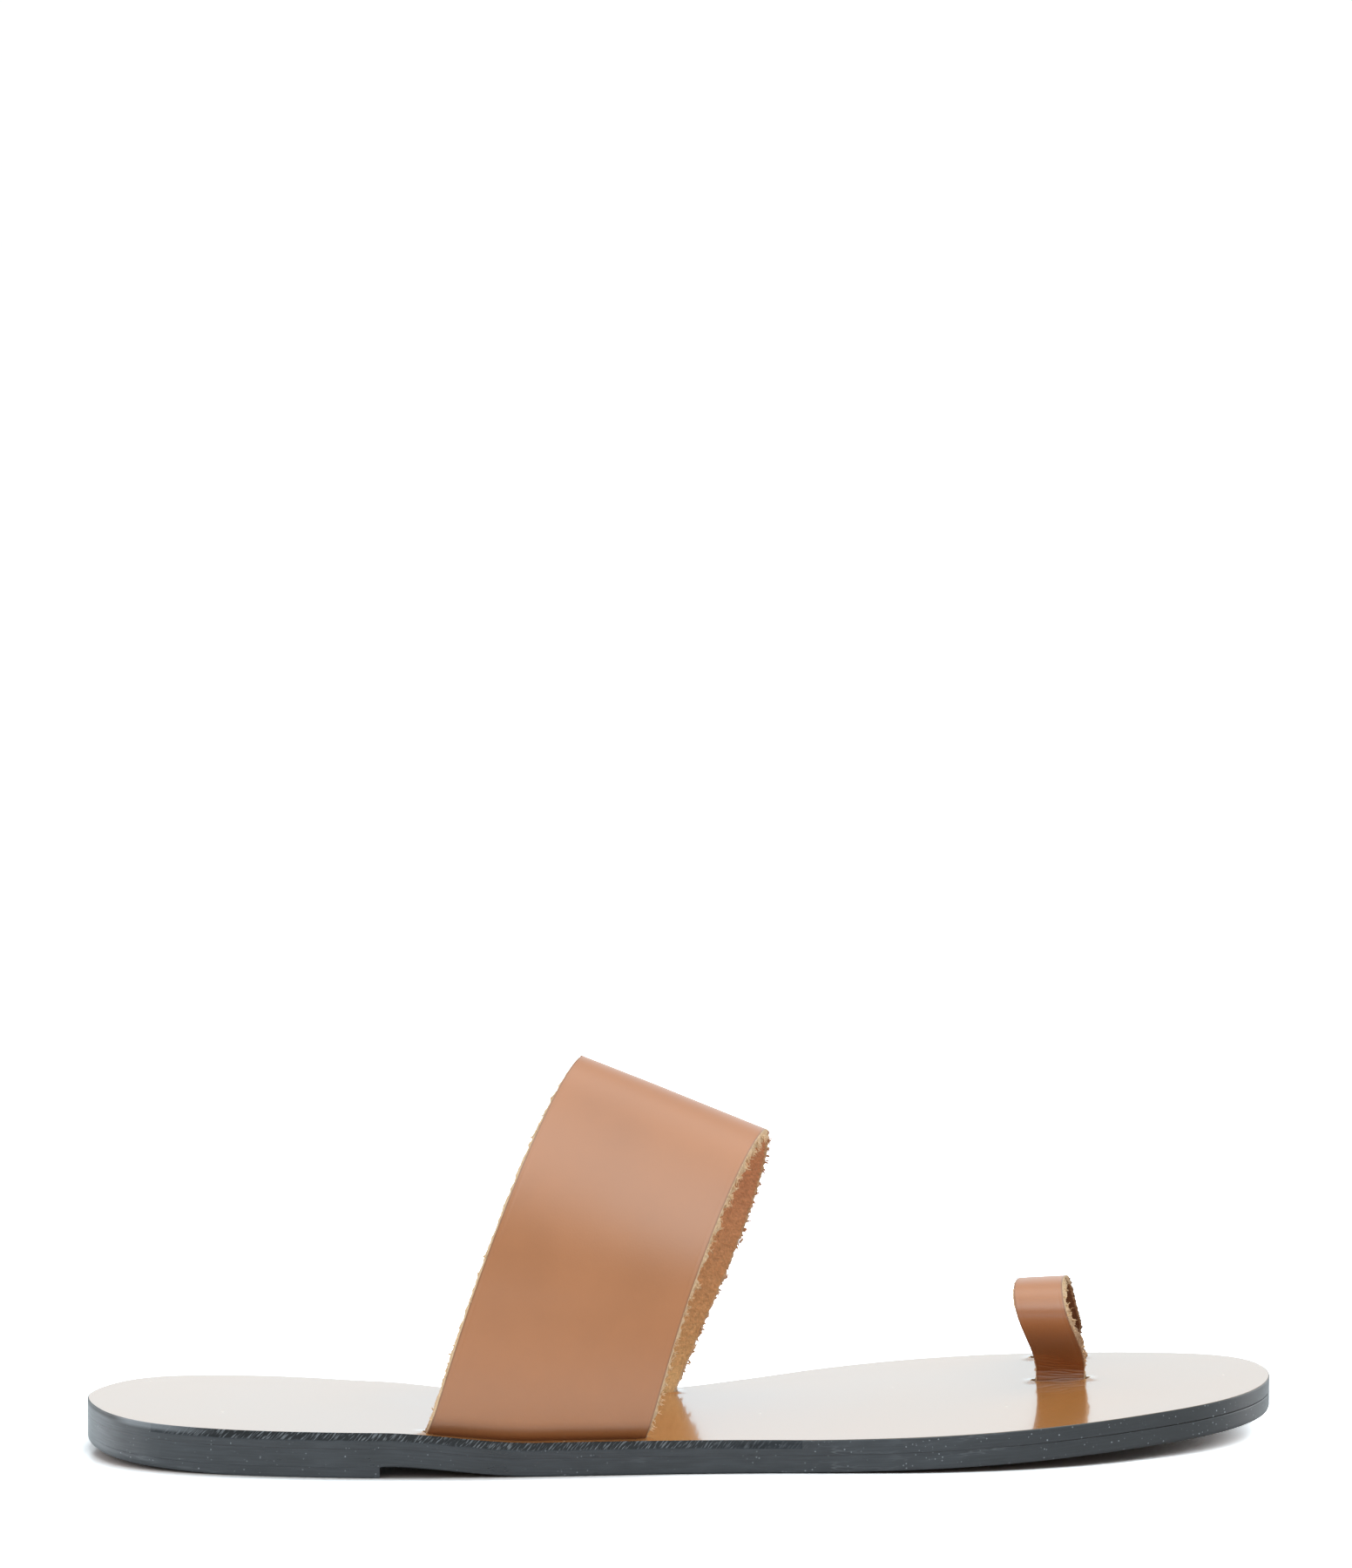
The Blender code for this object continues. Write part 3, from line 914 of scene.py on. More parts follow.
def make_slot_lips(finishes):
    """Small torn slivers of bare leather at the slots' ends, lifted off the polished top."""
    draft = Draft()
    for slot in slots():
        direction = np.array([math.cos(slot.turn), math.sin(slot.turn)])
        aside = np.array([-direction[1], direction[0]])
        for end in (-1.0, 1.0):
            rows = []
            for share in SLIVER_SHARES:
                reach = slot.half_length + SLIVER.root + SLIVER.reach * share
                half = SLIVER.width * (1.0 - share) + SLIVER.tip
                curl = math.sin(math.pi * min(1.0, share + SLIVER.curl)) * (1.0 - SLIVER.fall * share)
                shift = aside * SLIVER.aside * slot.half_width * end
                centre = slot.middle + direction * end * reach + shift
                level = footbed(centre[0]) + SLIVER.low + SLIVER.lift * curl
                rows.append([
                    (*(centre + aside * half * across), level - drop)
                    for across, drop in SLIVER_SECTION
                ])
            index = np.array([draft.add(row) for row in rows])
            ring = np.column_stack([index, index[:, 0]])
            flat = np.zeros((*ring.shape, 2))
            draft.grid(ring if end < 0 else ring[:, ::-1], flat, 0)
            for cap in (list(index[0]), list(index[-1][::-1])):
                draft.face(cap if end < 0 else cap[::-1], np.zeros((4, 2)), 0)
    obj = draft.make("slot_lips", [finishes["cut_edge"]], crease=50.0)
    finish_piece(obj, None)


WHITE = (1.0, 1.0, 1.0, 1.0)
BLACK = (0.0, 0.0, 0.0, 1.0)
TWICE = (2.0, 2.0, 2.0, 1.0)


def opaque(colour, factor=1.0):
    """A colour made lighter or darker by a factor, with full cover."""
    return (*(c * factor for c in colour), 1.0)


def connect(tree, node, inputs):
    """Links the inputs that are given as sockets and sets the others."""
    for name, value in inputs.items():
        if isinstance(value, bpy.types.NodeSocket):
            tree.links.new(value, node.inputs[name])
        else:
            node.inputs[name].default_value = value


def put(tree, kind, inputs=None, **settings):
    """Adds a node to a tree with its settings and inputs."""
    made = tree.nodes.new(kind)
    for name, value in settings.items():
        setattr(made, name, value)
    connect(tree, made, inputs or {})
    return made


def maths(tree, operation, first, second=0.0):
    return put(tree, "ShaderNodeMath", {0: first, 1: second}, operation=operation).outputs[0]


def times(tree, first, second):
    return maths(tree, "MULTIPLY", first, second)


def remap(tree, value, low, high, out_low=0.0, out_high=1.0):
    inputs = {"Value": value, "From Min": low, "From Max": high, "To Min": out_low, "To Max": out_high}
    return put(tree, "ShaderNodeMapRange", inputs).outputs["Result"]


def blend_colours(tree, factor, first, second, mode="MIX"):
    """Blends two colours, which the mix node takes at its sockets 6 and 7 and gives out at 2."""
    inputs = {0: factor, 6: first, 7: second}
    return put(tree, "ShaderNodeMix", inputs, data_type="RGBA", blend_type=mode).outputs[2]


def noise_at(tree, vector, scale, detail=2.0, roughness=0.5):
    inputs = {"Vector": vector, "Scale": scale, "Detail": detail, "Roughness": roughness}
    return put(tree, "ShaderNodeTexNoise", inputs).outputs["Fac"]


def stretch(tree, vector, scale, turn=0.0):
    """Turns a pattern's coordinates, then scales them, so that it runs out along the turned axis."""
    turned = put(tree, "ShaderNodeVectorRotate", {"Vector": vector, "Angle": turn}).outputs["Vector"]
    return put(tree, "ShaderNodeVectorMath", {0: turned, 1: scale}, operation="MULTIPLY").outputs["Vector"]


def coordinate(tree, vector, name):
    return put(tree, "ShaderNodeSeparateXYZ", {"Vector": vector}).outputs[name]


def mark(tree, name):
    """A value that the piece's points carry, such as how rasped its edge is."""
    return put(tree, "ShaderNodeAttribute", attribute_name=name).outputs["Fac"]


def bump(tree, height, strength, distance):
    inputs = {"Height": height, "Strength": strength, "Distance": distance}
    return put(tree, "ShaderNodeBump", inputs).outputs["Normal"]


def use_group(tree, group, **inputs):
    return put(tree, "ShaderNodeGroup", inputs, node_tree=group).outputs


SOCKET_KINDS = {type(None): "NodeSocketVector", float: "NodeSocketFloat", tuple: "NodeSocketColor"}


def node_group(name, inputs, outputs):
    """An empty shader group and its two ends: its numbers and colours have defaults, its vectors none."""
    tree = bpy.data.node_groups.new(name, "ShaderNodeTree")
    for label, default in inputs.items():
        made = tree.interface.new_socket(label, in_out="INPUT", socket_type=SOCKET_KINDS[type(default)])
        if default is not None:
            made.default_value = default
    for label in outputs:
        kind = "NodeSocketColor" if label == "Color" else "NodeSocketFloat"
        tree.interface.new_socket(label, in_out="OUTPUT", socket_type=kind)
    return tree, tree.nodes.new("NodeGroupInput").outputs, tree.nodes.new("NodeGroupOutput").inputs


def specks_group():
    """Sparse small specks: a few cells of a cell pattern, each with a dot of its own size."""
    inputs = {"Vector": None, "Scale": 400.0, "Share": 0.05, "Size": 0.2}
    tree, given, out = node_group("Specks", inputs, ("Mask",))
    cells = put(tree, "ShaderNodeTexVoronoi", {"Vector": given["Vector"], "Scale": given["Scale"]}).outputs
    chance = put(tree, "ShaderNodeSeparateColor", {"Color": cells["Color"]}).outputs
    chosen = maths(tree, "LESS_THAN", chance["Red"], given["Share"])
    reach = times(tree, given["Size"], chance["Green"])
    inside = maths(tree, "LESS_THAN", cells["Distance"], reach)
    tree.links.new(times(tree, chosen, inside), out["Mask"])
    return tree


def pores_group():
    """Fine leather grain: shallow cells with softer unevenness between them."""
    tree, given, out = node_group("Leather pores", {"Vector": None, "Scale": 3000.0}, ("Height", "Tone"))
    place, scale = given["Vector"], given["Scale"]
    cells = put(tree, "ShaderNodeTexVoronoi", {"Vector": place, "Scale": scale}, feature="SMOOTH_F1")
    fine = noise_at(tree, place, scale, 3.0)
    wide = noise_at(tree, place, times(tree, scale, 0.02), 3.0)
    tree.links.new(maths(tree, "ADD", cells.outputs["Distance"], times(tree, fine, 0.6)), out["Height"])
    tree.links.new(wide, out["Tone"])
    return tree


def nap_group():
    """Brushed fibres: short crossing streaks over soft clumps."""
    tree, given, out = node_group("Fibre nap", {"Vector": None, "Scale": 1500.0}, ("Height", "Tone"))
    place, scale = given["Vector"], given["Scale"]
    one = noise_at(tree, stretch(tree, place, (1.0, 0.3, 0.5), 0.6), scale, 3.0, 0.65)
    two = noise_at(tree, stretch(tree, place, (0.35, 1.0, 0.6), -0.4), scale, 3.0, 0.65)
    clumps = noise_at(tree, place, times(tree, scale, 0.3), 2.0)
    streaks = maths(tree, "MAXIMUM", one, two)
    tree.links.new(maths(tree, "ADD", streaks, times(tree, clumps, 0.3)), out["Height"])
    softer = maths(tree, "ADD", times(tree, clumps, 0.4), 0.8)
    tree.links.new(times(tree, streaks, softer), out["Tone"])
    return tree


def scuffs_group():
    """Scuffs and hairline scratches: thin streaks where a stretched noise crosses its middle."""
    tree, given, out = node_group("Scuffs", {"Vector": None, "Scale": 300.0, "Width": 0.02}, ("Mask",))
    place, scale = given["Vector"], given["Scale"]
    lines = noise_at(tree, place, scale, 2.0)
    off = maths(tree, "ABSOLUTE", maths(tree, "SUBTRACT", lines, 0.5))
    thin = maths(tree, "SUBTRACT", 1.0, remap(tree, off, 0.0, given["Width"]))
    where = noise_at(tree, place, times(tree, scale, 0.35), 2.0)
    tree.links.new(times(tree, thin, remap(tree, where, 0.55, 0.7)), out["Mask"])
    return tree


def tuck_shade_group():
    """Painted shade: darkens a strip where it turns under, as far as its points say."""
    inputs = {"Color": WHITE, "Dark": BLACK, "Strength": 1.0}
    tree, given, out = node_group("Painted tuck shade", inputs, ("Color",))
    weight = times(tree, mark(tree, "tuck"), given["Strength"])
    tree.links.new(blend_colours(tree, weight, given["Color"], given["Dark"]), out["Color"])
    return tree


def edge_paint_group(colours, groups):
    """Black edge paint: cloudy, specked and scratched, with a rasped strip where the piece says so; painted
    shade and highlights near the heel and toe.
    """
    tree, given, out = node_group("Painted edge", {"Vector": None}, ("Color", "Roughness", "Height"))
    place = given["Vector"]
    lay = put(tree, "ShaderNodeUVMap", uv_map=LAY_MAP).outputs["UV"]
    down, ahead = coordinate(tree, lay, "Y"), coordinate(tree, place, "X")

    cloud = noise_at(tree, stretch(tree, lay, (0.35, 1.0, 1.0)), 260.0, 4.0, 0.6)
    streaks = noise_at(tree, stretch(tree, lay, (0.05, 1.0, 1.0)), 2600.0, 2.0)
    streaks = remap(tree, streaks, 0.35, 0.65, 0.84, 1.16)
    cloudy = times(tree, streaks, remap(tree, cloud, 0.3, 0.7, 0.8, 1.2))
    # Painted shade makes the paint darker towards the toe; a painted highlight makes it lighter and bluer
    # at the heel's back
    at_toe, at_heel = remap(tree, ahead, 0.045, 0.105), remap(tree, ahead, -0.117, -0.125)
    paint = blend_colours(tree, at_toe, opaque(colours.edge), opaque(colours.edge, 0.25))
    paint = blend_colours(tree, at_heel, paint, opaque(colours.edge_wear_and_sheen, 0.5))
    paint = blend_colours(tree, times(tree, cloudy, 0.5), BLACK, paint)
    paint = blend_colours(tree, 1.0, paint, TWICE, "MULTIPLY")

    specks = use_group(tree, groups["specks"], Vector=place, Scale=1500.0, Share=0.34, Size=0.27)
    crowd = noise_at(tree, stretch(tree, lay, (0.4, 1.0, 1.0)), 240.0, 2.0)
    crowded = times(tree, specks["Mask"], remap(tree, crowd, 0.38, 0.58))
    drawn = stretch(tree, lay, (0.12, 1.0, 1.0))
    scratch = use_group(tree, groups["scuffs"], Vector=drawn, Scale=700.0, Width=0.03)
    wear = maths(tree, "MAXIMUM", crowded, times(tree, scratch["Mask"], 0.35))
    paint = blend_colours(tree, wear, paint, opaque(colours.edge_wear_and_sheen))

    bare = times(tree, remap(tree, down, 0.00020, 0.00008), mark(tree, "bare"))
    paint = blend_colours(tree, bare, paint, opaque(colours.cut_edge, 0.25))
    # Painted shade along the top of the edge around the heel's back
    rim = times(tree, remap(tree, down, 0.0013, 0.0008), mark(tree, "heel"))
    paint = blend_colours(tree, rim, paint, opaque(colours.edge, 0.12))

    hatch = noise_at(tree, stretch(tree, lay, (1.0, 0.12, 1.0), 0.7), 3300.0, 1.0, 0.5)
    hatch = remap(tree, hatch, 0.50, 0.66)
    wobble = remap(tree, noise_at(tree, lay, 350.0, 3.0), 0.0, 1.0, -0.0003, 0.0003)
    strip = remap(tree, maths(tree, "ADD", down, wobble), 0.0019, 0.0016)
    strip = times(tree, strip, mark(tree, "rasp"))
    rasped = blend_colours(tree, hatch, opaque(colours.edge, 0.2), opaque(colours.edge_wear_and_sheen, 0.55))
    paint = blend_colours(tree, strip, paint, rasped)
    # Painted highlight on the edge's top near the heel
    painted_highlight = times(tree, remap(tree, down, 0.0015, 0.0009), mark(tree, "painted_highlight"))
    paint = blend_colours(tree, painted_highlight, paint, opaque(colours.edge_wear_and_sheen, 0.7))

    tree.links.new(paint, out["Color"])
    tree.links.new(remap(tree, cloud, 0.3, 0.7, 0.26, 0.40), out["Roughness"])
    tree.links.new(maths(tree, "ADD", times(tree, hatch, strip), times(tree, cloud, 0.15)), out["Height"])
    return tree


def new_material(name):
    """Starts a material: its node tree and the piece's own coordinates."""
    material = bpy.data.materials.new(name)
    material.use_nodes = True
    tree = material.node_tree
    return tree, tree.nodes.new("ShaderNodeTexCoord").outputs["Object"]


def feed(tree, **inputs):
    """Links or sets the inputs of a material's shader, named with underscores for spaces."""
    spaced = {name.replace("_", " "): value for name, value in inputs.items()}
    connect(tree, tree.nodes["Principled BSDF"], spaced)


def grain_finish(tree, place, colours, groups):
    """Smooth tan strap leather: fine pores, faint cloudiness, a few dark pinpricks, and painted shade where
    it turns under and along its creases.
    """
    pores = use_group(tree, groups["pores"], Vector=place, Scale=2600.0)
    dots = use_group(tree, groups["specks"], Vector=place, Scale=260.0, Share=0.02, Size=0.06)
    cloud = remap(tree, pores["Tone"], 0.3, 0.7)
    dark, painted_tuck_shade = opaque(colours.strap, 0.45), opaque(colours.painted_tuck_shade)
    tan = blend_colours(tree, cloud, opaque(colours.strap, 0.94), opaque(colours.strap, 1.05))
    tan = blend_colours(tree, times(tree, mark(tree, "rim"), 0.75), tan, dark)
    # Painted shade where the strip turns under
    tan = use_group(tree, groups["tuck"], Color=tan, Dark=painted_tuck_shade, Strength=0.85)["Color"]
    # Painted shade along the creases
    tan = blend_colours(tree, times(tree, mark(tree, "crease_shade"), 0.6), tan, opaque(colours.strap, 0.7))
    feed(
        tree,
        Base_Color=blend_colours(tree, dots["Mask"], tan, dark),
        Roughness=remap(tree, cloud, 0.0, 1.0, 0.29, 0.33),
        IOR=1.65,
        Specular_IOR_Level=1.0,
        Normal=bump(tree, pores["Height"], 0.08, 0.0001),
    )


def suede_finish(tree, place, colours, groups):
    """Suede flesh side of the straps, with painted light making it paler near the footbed and painted shade
    where the strips turn under.
    """
    nap = use_group(tree, groups["nap"], Vector=place, Scale=2600.0)
    # Painted light: paler towards the footbed
    level = remap(tree, coordinate(tree, place, "Z"), 0.012, 0.05)
    golden = blend_colours(tree, level, opaque(colours.suede_painted_light), opaque(colours.suede))
    hollow = blend_colours(tree, 0.42, golden, BLACK)
    brown = blend_colours(tree, remap(tree, nap["Tone"], 0.38, 0.80), hollow, golden)
    # Painted shade where the strips turn under and inside the loop
    painted_tuck_shade = opaque(colours.painted_tuck_shade, 0.8)
    feed(
        tree,
        Base_Color=use_group(tree, groups["tuck"], Color=brown, Dark=painted_tuck_shade, Strength=0.9)["Color"],
        Roughness=0.95,
        Specular_IOR_Level=0.2,
        Sheen_Weight=0.25,
        Sheen_Roughness=0.5,
        Sheen_Tint=opaque(colours.cut_edge),
        Normal=bump(tree, nap["Height"], 0.7, 0.0005),
    )


def cut_edge_finish(tree, place, colours, groups):
    """Raw cut edge: pale, fibrous, darker in its hollows, with painted shade where the strips turn under.
    """
    nap = use_group(tree, groups["nap"], Vector=place, Scale=2200.0)
    tone = remap(tree, nap["Tone"], 0.3, 0.8)
    raw = blend_colours(tree, tone, opaque(colours.cut_edge, 0.55), opaque(colours.cut_edge, 1.2))
    # Painted shade where the strips turn under
    painted_tuck_shade = opaque(colours.painted_tuck_shade)
    feed(
        tree,
        Base_Color=use_group(tree, groups["tuck"], Color=raw, Dark=painted_tuck_shade, Strength=0.6)["Color"],
        Roughness=0.9,
        Specular_IOR_Level=0.2,
        Normal=bump(tree, nap["Height"], 0.7, 0.0004),
    )


def fibre_finish(tree, place, colours, groups):
    """Loose fibres, a little paler than the cut edge."""
    nap = use_group(tree, groups["nap"], Vector=place, Scale=900.0)
    tone = remap(tree, nap["Tone"], 0.3, 0.8)
    pale = blend_colours(tree, tone, opaque(colours.cut_edge), opaque(colours.cut_edge, 1.4))
    feed(tree, Base_Color=pale, Roughness=0.8, Specular_IOR_Level=0.3)


def footbed_finish(tree, place, colours, groups):
    """Polished tan footbed under a hard wax coat, with a few specks of dust."""
    pores = use_group(tree, groups["pores"], Vector=place, Scale=900.0)
    pale = use_group(tree, groups["specks"], Vector=place, Scale=330.0, Share=0.07, Size=0.13)
    dark = use_group(tree, groups["specks"], Vector=place, Scale=210.0, Share=0.012, Size=0.08)
    cloud = remap(tree, pores["Tone"], 0.3, 0.7)
    tan = blend_colours(tree, cloud, opaque(colours.footbed, 0.93), opaque(colours.footbed, 1.06))
    tan = blend_colours(tree, dark["Mask"], tan, opaque(colours.footbed, 0.35))
    feed(
        tree,
        Base_Color=blend_colours(tree, pale["Mask"], tan, opaque(colours.cut_edge, 1.3)),
        Roughness=remap(tree, cloud, 0.0, 1.0, 0.16, 0.22),
        Coat_Weight=1.0,
        Coat_Roughness=0.07,
        Normal=bump(tree, pores["Height"], 0.02, 0.0001),
    )


def edge_paint_finish(tree, place, colours, groups, gleam=0.8):
    """The painted edge of the soles, with a gleam."""
    paint = use_group(tree, groups["paint"], Vector=place)
    feed(
        tree,
        Base_Color=paint["Color"],
        Roughness=paint["Roughness"],
        Specular_IOR_Level=gleam,
        Normal=bump(tree, paint["Height"], 0.6, 0.00025),
    )


def rasped_edge_finish(tree, place, colours, groups):
    """The same paint over the rasped strip, where it has hardly any gleam."""
    edge_paint_finish(tree, place, colours, groups, gleam=0.3)


def underside_finish(tree, place, colours, groups):
    """Bare brown leather under the sole."""
    pores = use_group(tree, groups["pores"], Vector=place, Scale=1200.0)
    drawn = stretch(tree, place, (0.3, 1.0, 1.0), 0.3)
    scratch = use_group(tree, groups["scuffs"], Vector=drawn, Scale=160.0, Width=0.02)
    tone = remap(tree, pores["Tone"], 0.3, 0.7)
    brown = blend_colours(tree, tone, opaque(colours.underside, 0.8), opaque(colours.underside, 1.2))
    feed(
        tree,
        Base_Color=blend_colours(tree, scratch["Mask"], brown, opaque(colours.underside, 1.7)),
        Roughness=remap(tree, tone, 0.0, 1.0, 0.55, 0.7),
        Normal=bump(tree, pores["Height"], 0.25, 0.0002),
    )


def rubber_finish(tree, place, colours, groups):
    """Matt black heel rubber with a fine sanded texture."""
    pores = use_group(tree, groups["pores"], Vector=place, Scale=1500.0)
    scratch = use_group(tree, groups["scuffs"], Vector=place, Scale=220.0, Width=0.02)
    tone = remap(tree, pores["Tone"], 0.3, 0.7)
    black = blend_colours(tree, tone, opaque(colours.edge, 0.7), opaque(colours.edge, 1.1))
    feed(
        tree,
        Base_Color=blend_colours(tree, scratch["Mask"], black, opaque(colours.edge_wear_and_sheen)),
        Roughness=0.62,
        Normal=bump(tree, pores["Height"], 0.35, 0.0002),
    )


FINISHES = {
    "grain": ("Strap grain", grain_finish),
    "suede": ("Strap suede", suede_finish),
    "cut_edge": ("Cut edge", cut_edge_finish),
    "fibre": ("Loose fibre", fibre_finish),
    "footbed": ("Polished footbed", footbed_finish),
    "edge_paint": ("Edge paint", edge_paint_finish),
    "rasped_edge": ("Rasped edge", rasped_edge_finish),
    "underside": ("Sole underside", underside_finish),
    "rubber": ("Heel rubber", rubber_finish),
}


def make_finishes(colours):
    """All the sandal's materials by short name, made once."""
    if bpy.data.materials.get(FINISHES["grain"][0]) is None:
        groups = {"specks": specks_group(), "pores": pores_group(), "nap": nap_group()}
        groups |= {"scuffs": scuffs_group(), "tuck": tuck_shade_group()}
        groups["paint"] = edge_paint_group(colours, groups)
        for name, build in FINISHES.values():
            build(*new_material(name), colours, groups)
    return {key: bpy.data.materials[name] for key, (name, _) in FINISHES.items()}


RampStop = namedtuple("RampStop", "angle level")
OVERHEAD_BANK = (
    RampStop(17.0, 0.0),
    RampStop(30.0, 0.85),
    RampStop(42.0, 1.0),
    RampStop(60.0, 0.9),
    RampStop(85.0, 0.68),
    RampStop(115.0, 0.8),
    RampStop(140.0, 0.3),
    RampStop(165.0, 0.0),
)


def overhead_bank(tree, x, y, z):
    """How bright the bank of light is in each direction: a ramp over the top, with soft ends."""
    turn = maths(tree, "ARCTAN2", z, times(tree, y, -1.0))
    ramp = put(tree, "ShaderNodeValToRGB", {"Fac": maths(tree, "DIVIDE", turn, math.pi)})
    stops = ramp.color_ramp.elements
    for stop in OVERHEAD_BANK:
        stops.new(stop.angle / 180.0).color = opaque((stop.level,) * 3)
    stops.remove(stops[0])
    stops.remove(stops[-1])
    middle = maths(tree, "ADD", times(tree, z, 0.35), 0.12)
    ahead = maths(tree, "SUBTRACT", x, middle)
    aside = maths(tree, "MAXIMUM", ahead, times(tree, ahead, -0.35))
    return times(tree, remap(tree, aside, 0.40, 0.20), ramp.outputs["Color"])


def set_world(studio):
    """White surround, dim behind the camera, with a long soft bank of light from the front over the top."""
    world = bpy.data.worlds.new("White studio")
    bpy.context.scene.world = world
    world.use_nodes = True
    tree = world.node_tree
    towards = tree.nodes.new("ShaderNodeTexCoord").outputs["Generated"]
    x, y, z = (coordinate(tree, towards, name) for name in "XYZ")
    away = remap(tree, y, -0.85, -0.25)
    low = blend_colours(tree, away, opaque(studio.front_light), opaque(studio.back_light))
    surround = blend_colours(tree, remap(tree, z, 0.2, 0.6), low, opaque(studio.top_light))
    beside = remap(tree, maths(tree, "ABSOLUTE", x), 0.5, 0.85)
    beside = times(tree, beside, remap(tree, z, 0.8, 0.45))
    toewards = times(tree, remap(tree, x, -0.3, 0.3), -0.35)
    behind = remap(tree, maths(tree, "ADD", y, toewards), -0.6, -0.2)
    raised = maths(tree, "MAXIMUM", behind, remap(tree, z, 0.1, 0.32, 0.0, 0.3))
    surround = blend_colours(tree, times(tree, beside, raised), surround, opaque(studio.side_light))
    inside = overhead_bank(tree, x, y, z)
    lit = blend_colours(tree, inside, surround, opaque(studio.bank_light), "ADD")
    tree.links.new(lit, tree.nodes["Background"].inputs["Color"])


def add_camera(studio):
    """A long lens from low on the outer side: the aim lies below the middle of an upright frame."""
    data = bpy.data.cameras.new("Camera")
    data.sensor_width = 36.0
    data.lens = studio.lens
    data.clip_end = 50.0
    camera = bpy.data.objects.new("Camera", data)
    bpy.context.scene.collection.objects.link(camera)
    turn, rise = studio.camera_turn, studio.camera_rise
    back = Vector((math.sin(turn) * math.cos(rise), -math.cos(turn) * math.cos(rise), math.sin(rise)))
    camera.location = Vector(studio.aim) + back * studio.distance
    tilt = math.atan(studio.aim_drop * data.sensor_width / data.lens)
    camera.rotation_euler = Euler((math.pi / 2 - rise + tilt, 0.0, turn))
    bpy.context.scene.camera = camera


# Painted shadow on the floor, in metres along the sole: its reach, and where it weakens at the toe and the
# heel
SHADE_REACH = 0.012
SHADE_SAMPLES = 10
SHADE_RUN = (-0.1, 0.1)
DARKEST = (0.50, 0.28)
PALEST = (1.0, 0.58)
TOE_CLEARS = (0.080, 0.115)
TOE_CLEAR = 0.34
HEEL_PALES = (-0.095, -0.113)
HEEL_PALE = 2.2


def floor_material(studio):
    """Pale floor with a painted shadow close under the sole, which throws less light back than the camera
    sees.
    """
    tree, place = new_material("Floor")
    seen = tree.nodes.new("ShaderNodeLightPath").outputs["Is Camera Ray"]
    shade = put(tree, "ShaderNodeAmbientOcclusion", {"Distance": SHADE_REACH}, samples=SHADE_SAMPLES)
    ahead = coordinate(tree, place, "X")
    at_toe = remap(tree, ahead, *TOE_CLEARS, 0.0, TOE_CLEAR)
    at_heel = remap(tree, ahead, *HEEL_PALES)
    least = maths(tree, "SUBTRACT", remap(tree, ahead, *SHADE_RUN, *DARKEST), at_toe)
    most = maths(tree, "SUBTRACT", remap(tree, ahead, *SHADE_RUN, *PALEST), at_toe)
    clear = remap(tree, shade.outputs["AO"], least, most)
    dusk = blend_colours(tree, at_heel, opaque(studio.floor_shade), opaque(studio.floor_shade, HEEL_PALE))
    pale = blend_colours(tree, clear, dusk, opaque(studio.floor))
    tone = blend_colours(tree, seen, opaque(studio.floor_bounce), pale)
    feed(tree, Base_Color=tone, Roughness=0.2)
    return bpy.data.materials["Floor"]


def make_stage(studio):
    """Floor, lights and camera."""
    mesh = bpy.data.meshes.new("floor")
    reach = studio.floor_reach
    corners = [(-reach, -reach, 0), (reach, -reach, 0), (reach, reach, 0), (-reach, reach, 0)]
    mesh.from_pydata(corners, [], [(0, 1, 2, 3)])
    mesh.materials.append(floor_material(studio))
    floor = bpy.data.objects.new("floor", mesh)
    bpy.context.scene.collection.objects.link(floor)
    set_world(studio)
    add_camera(studio)
    bpy.context.scene.view_settings.view_transform = "Standard"


def colour_property(name, description, default):
    return bpy.props.FloatVectorProperty(
        name=name, description=description, subtype="COLOR", size=3, min=0.0, max=4.0, default=default
    )


def size_property(name, description, millimetres):
    size = millimetres * MM
    return bpy.props.FloatProperty(name=name, description=description, unit="LENGTH", default=size)


def angle_property(name, description, degrees):
    angle = math.radians(degrees)
    return bpy.props.FloatProperty(name=name, description=description, unit="ROTATION", default=angle)


def number_property(name, description, default):
    return bpy.props.FloatProperty(name=name, description=description, default=default)


class SandalSizes(bpy.types.PropertyGroup):
    """Fine sizes that the finish adds to the solids"""

    sole_round: size_property("Sole corner", "Rounding of the outsole's lower corner", 0.7)
    lift_round: size_property("Lift corner", "Rounding of the heel lift's lower corner", 0.4)
    slot_lip: size_property("Slot lip", "How far the footbed is drawn up at the ends of its slots", 0.3)
    fray: size_property("Fray", "Unevenness of the straps' raw cut edges", 0.32)
    fibre_length: number_property("Fibre length", "Scale of the loose fibres", 1.0)


class SandalColours(bpy.types.PropertyGroup):
    """Colours of the leathers, edge paint and rubber"""

    strap: colour_property("Strap", "Grain side of the straps", (0.55, 0.197, 0.058))
    # Colour of the painted shade where the straps turn under and inside the toe loop
    painted_tuck_shade: colour_property("Painted shade where tucked", "Straps where they turn under", (0.112, 0.028, 0.010))
    suede: colour_property("Suede", "Flesh side of the straps", (0.90, 0.46, 0.255))
    # Suede lit by painted light near the footbed
    suede_painted_light: colour_property("Suede in painted light", "Paler flesh side near the footbed", (1.0, 0.62, 0.285))
    cut_edge: colour_property("Cut edge", "Raw cut edges and loose fibres", (0.76, 0.53, 0.32))
    footbed: colour_property("Footbed", "Polished top of the insole", (0.54, 0.236, 0.069))
    edge: colour_property("Edge paint", "Painted edge and heel rubber", (0.043, 0.049, 0.055))
    # Also the colour of the edge paint's painted highlights
    edge_wear_and_sheen: colour_property("Edge wear and painted highlight", "Specks and rasp marks in the edge paint", (0.30, 0.32, 0.34))
    underside: colour_property("Underside", "Bare leather under the sole", (0.17, 0.085, 0.045))


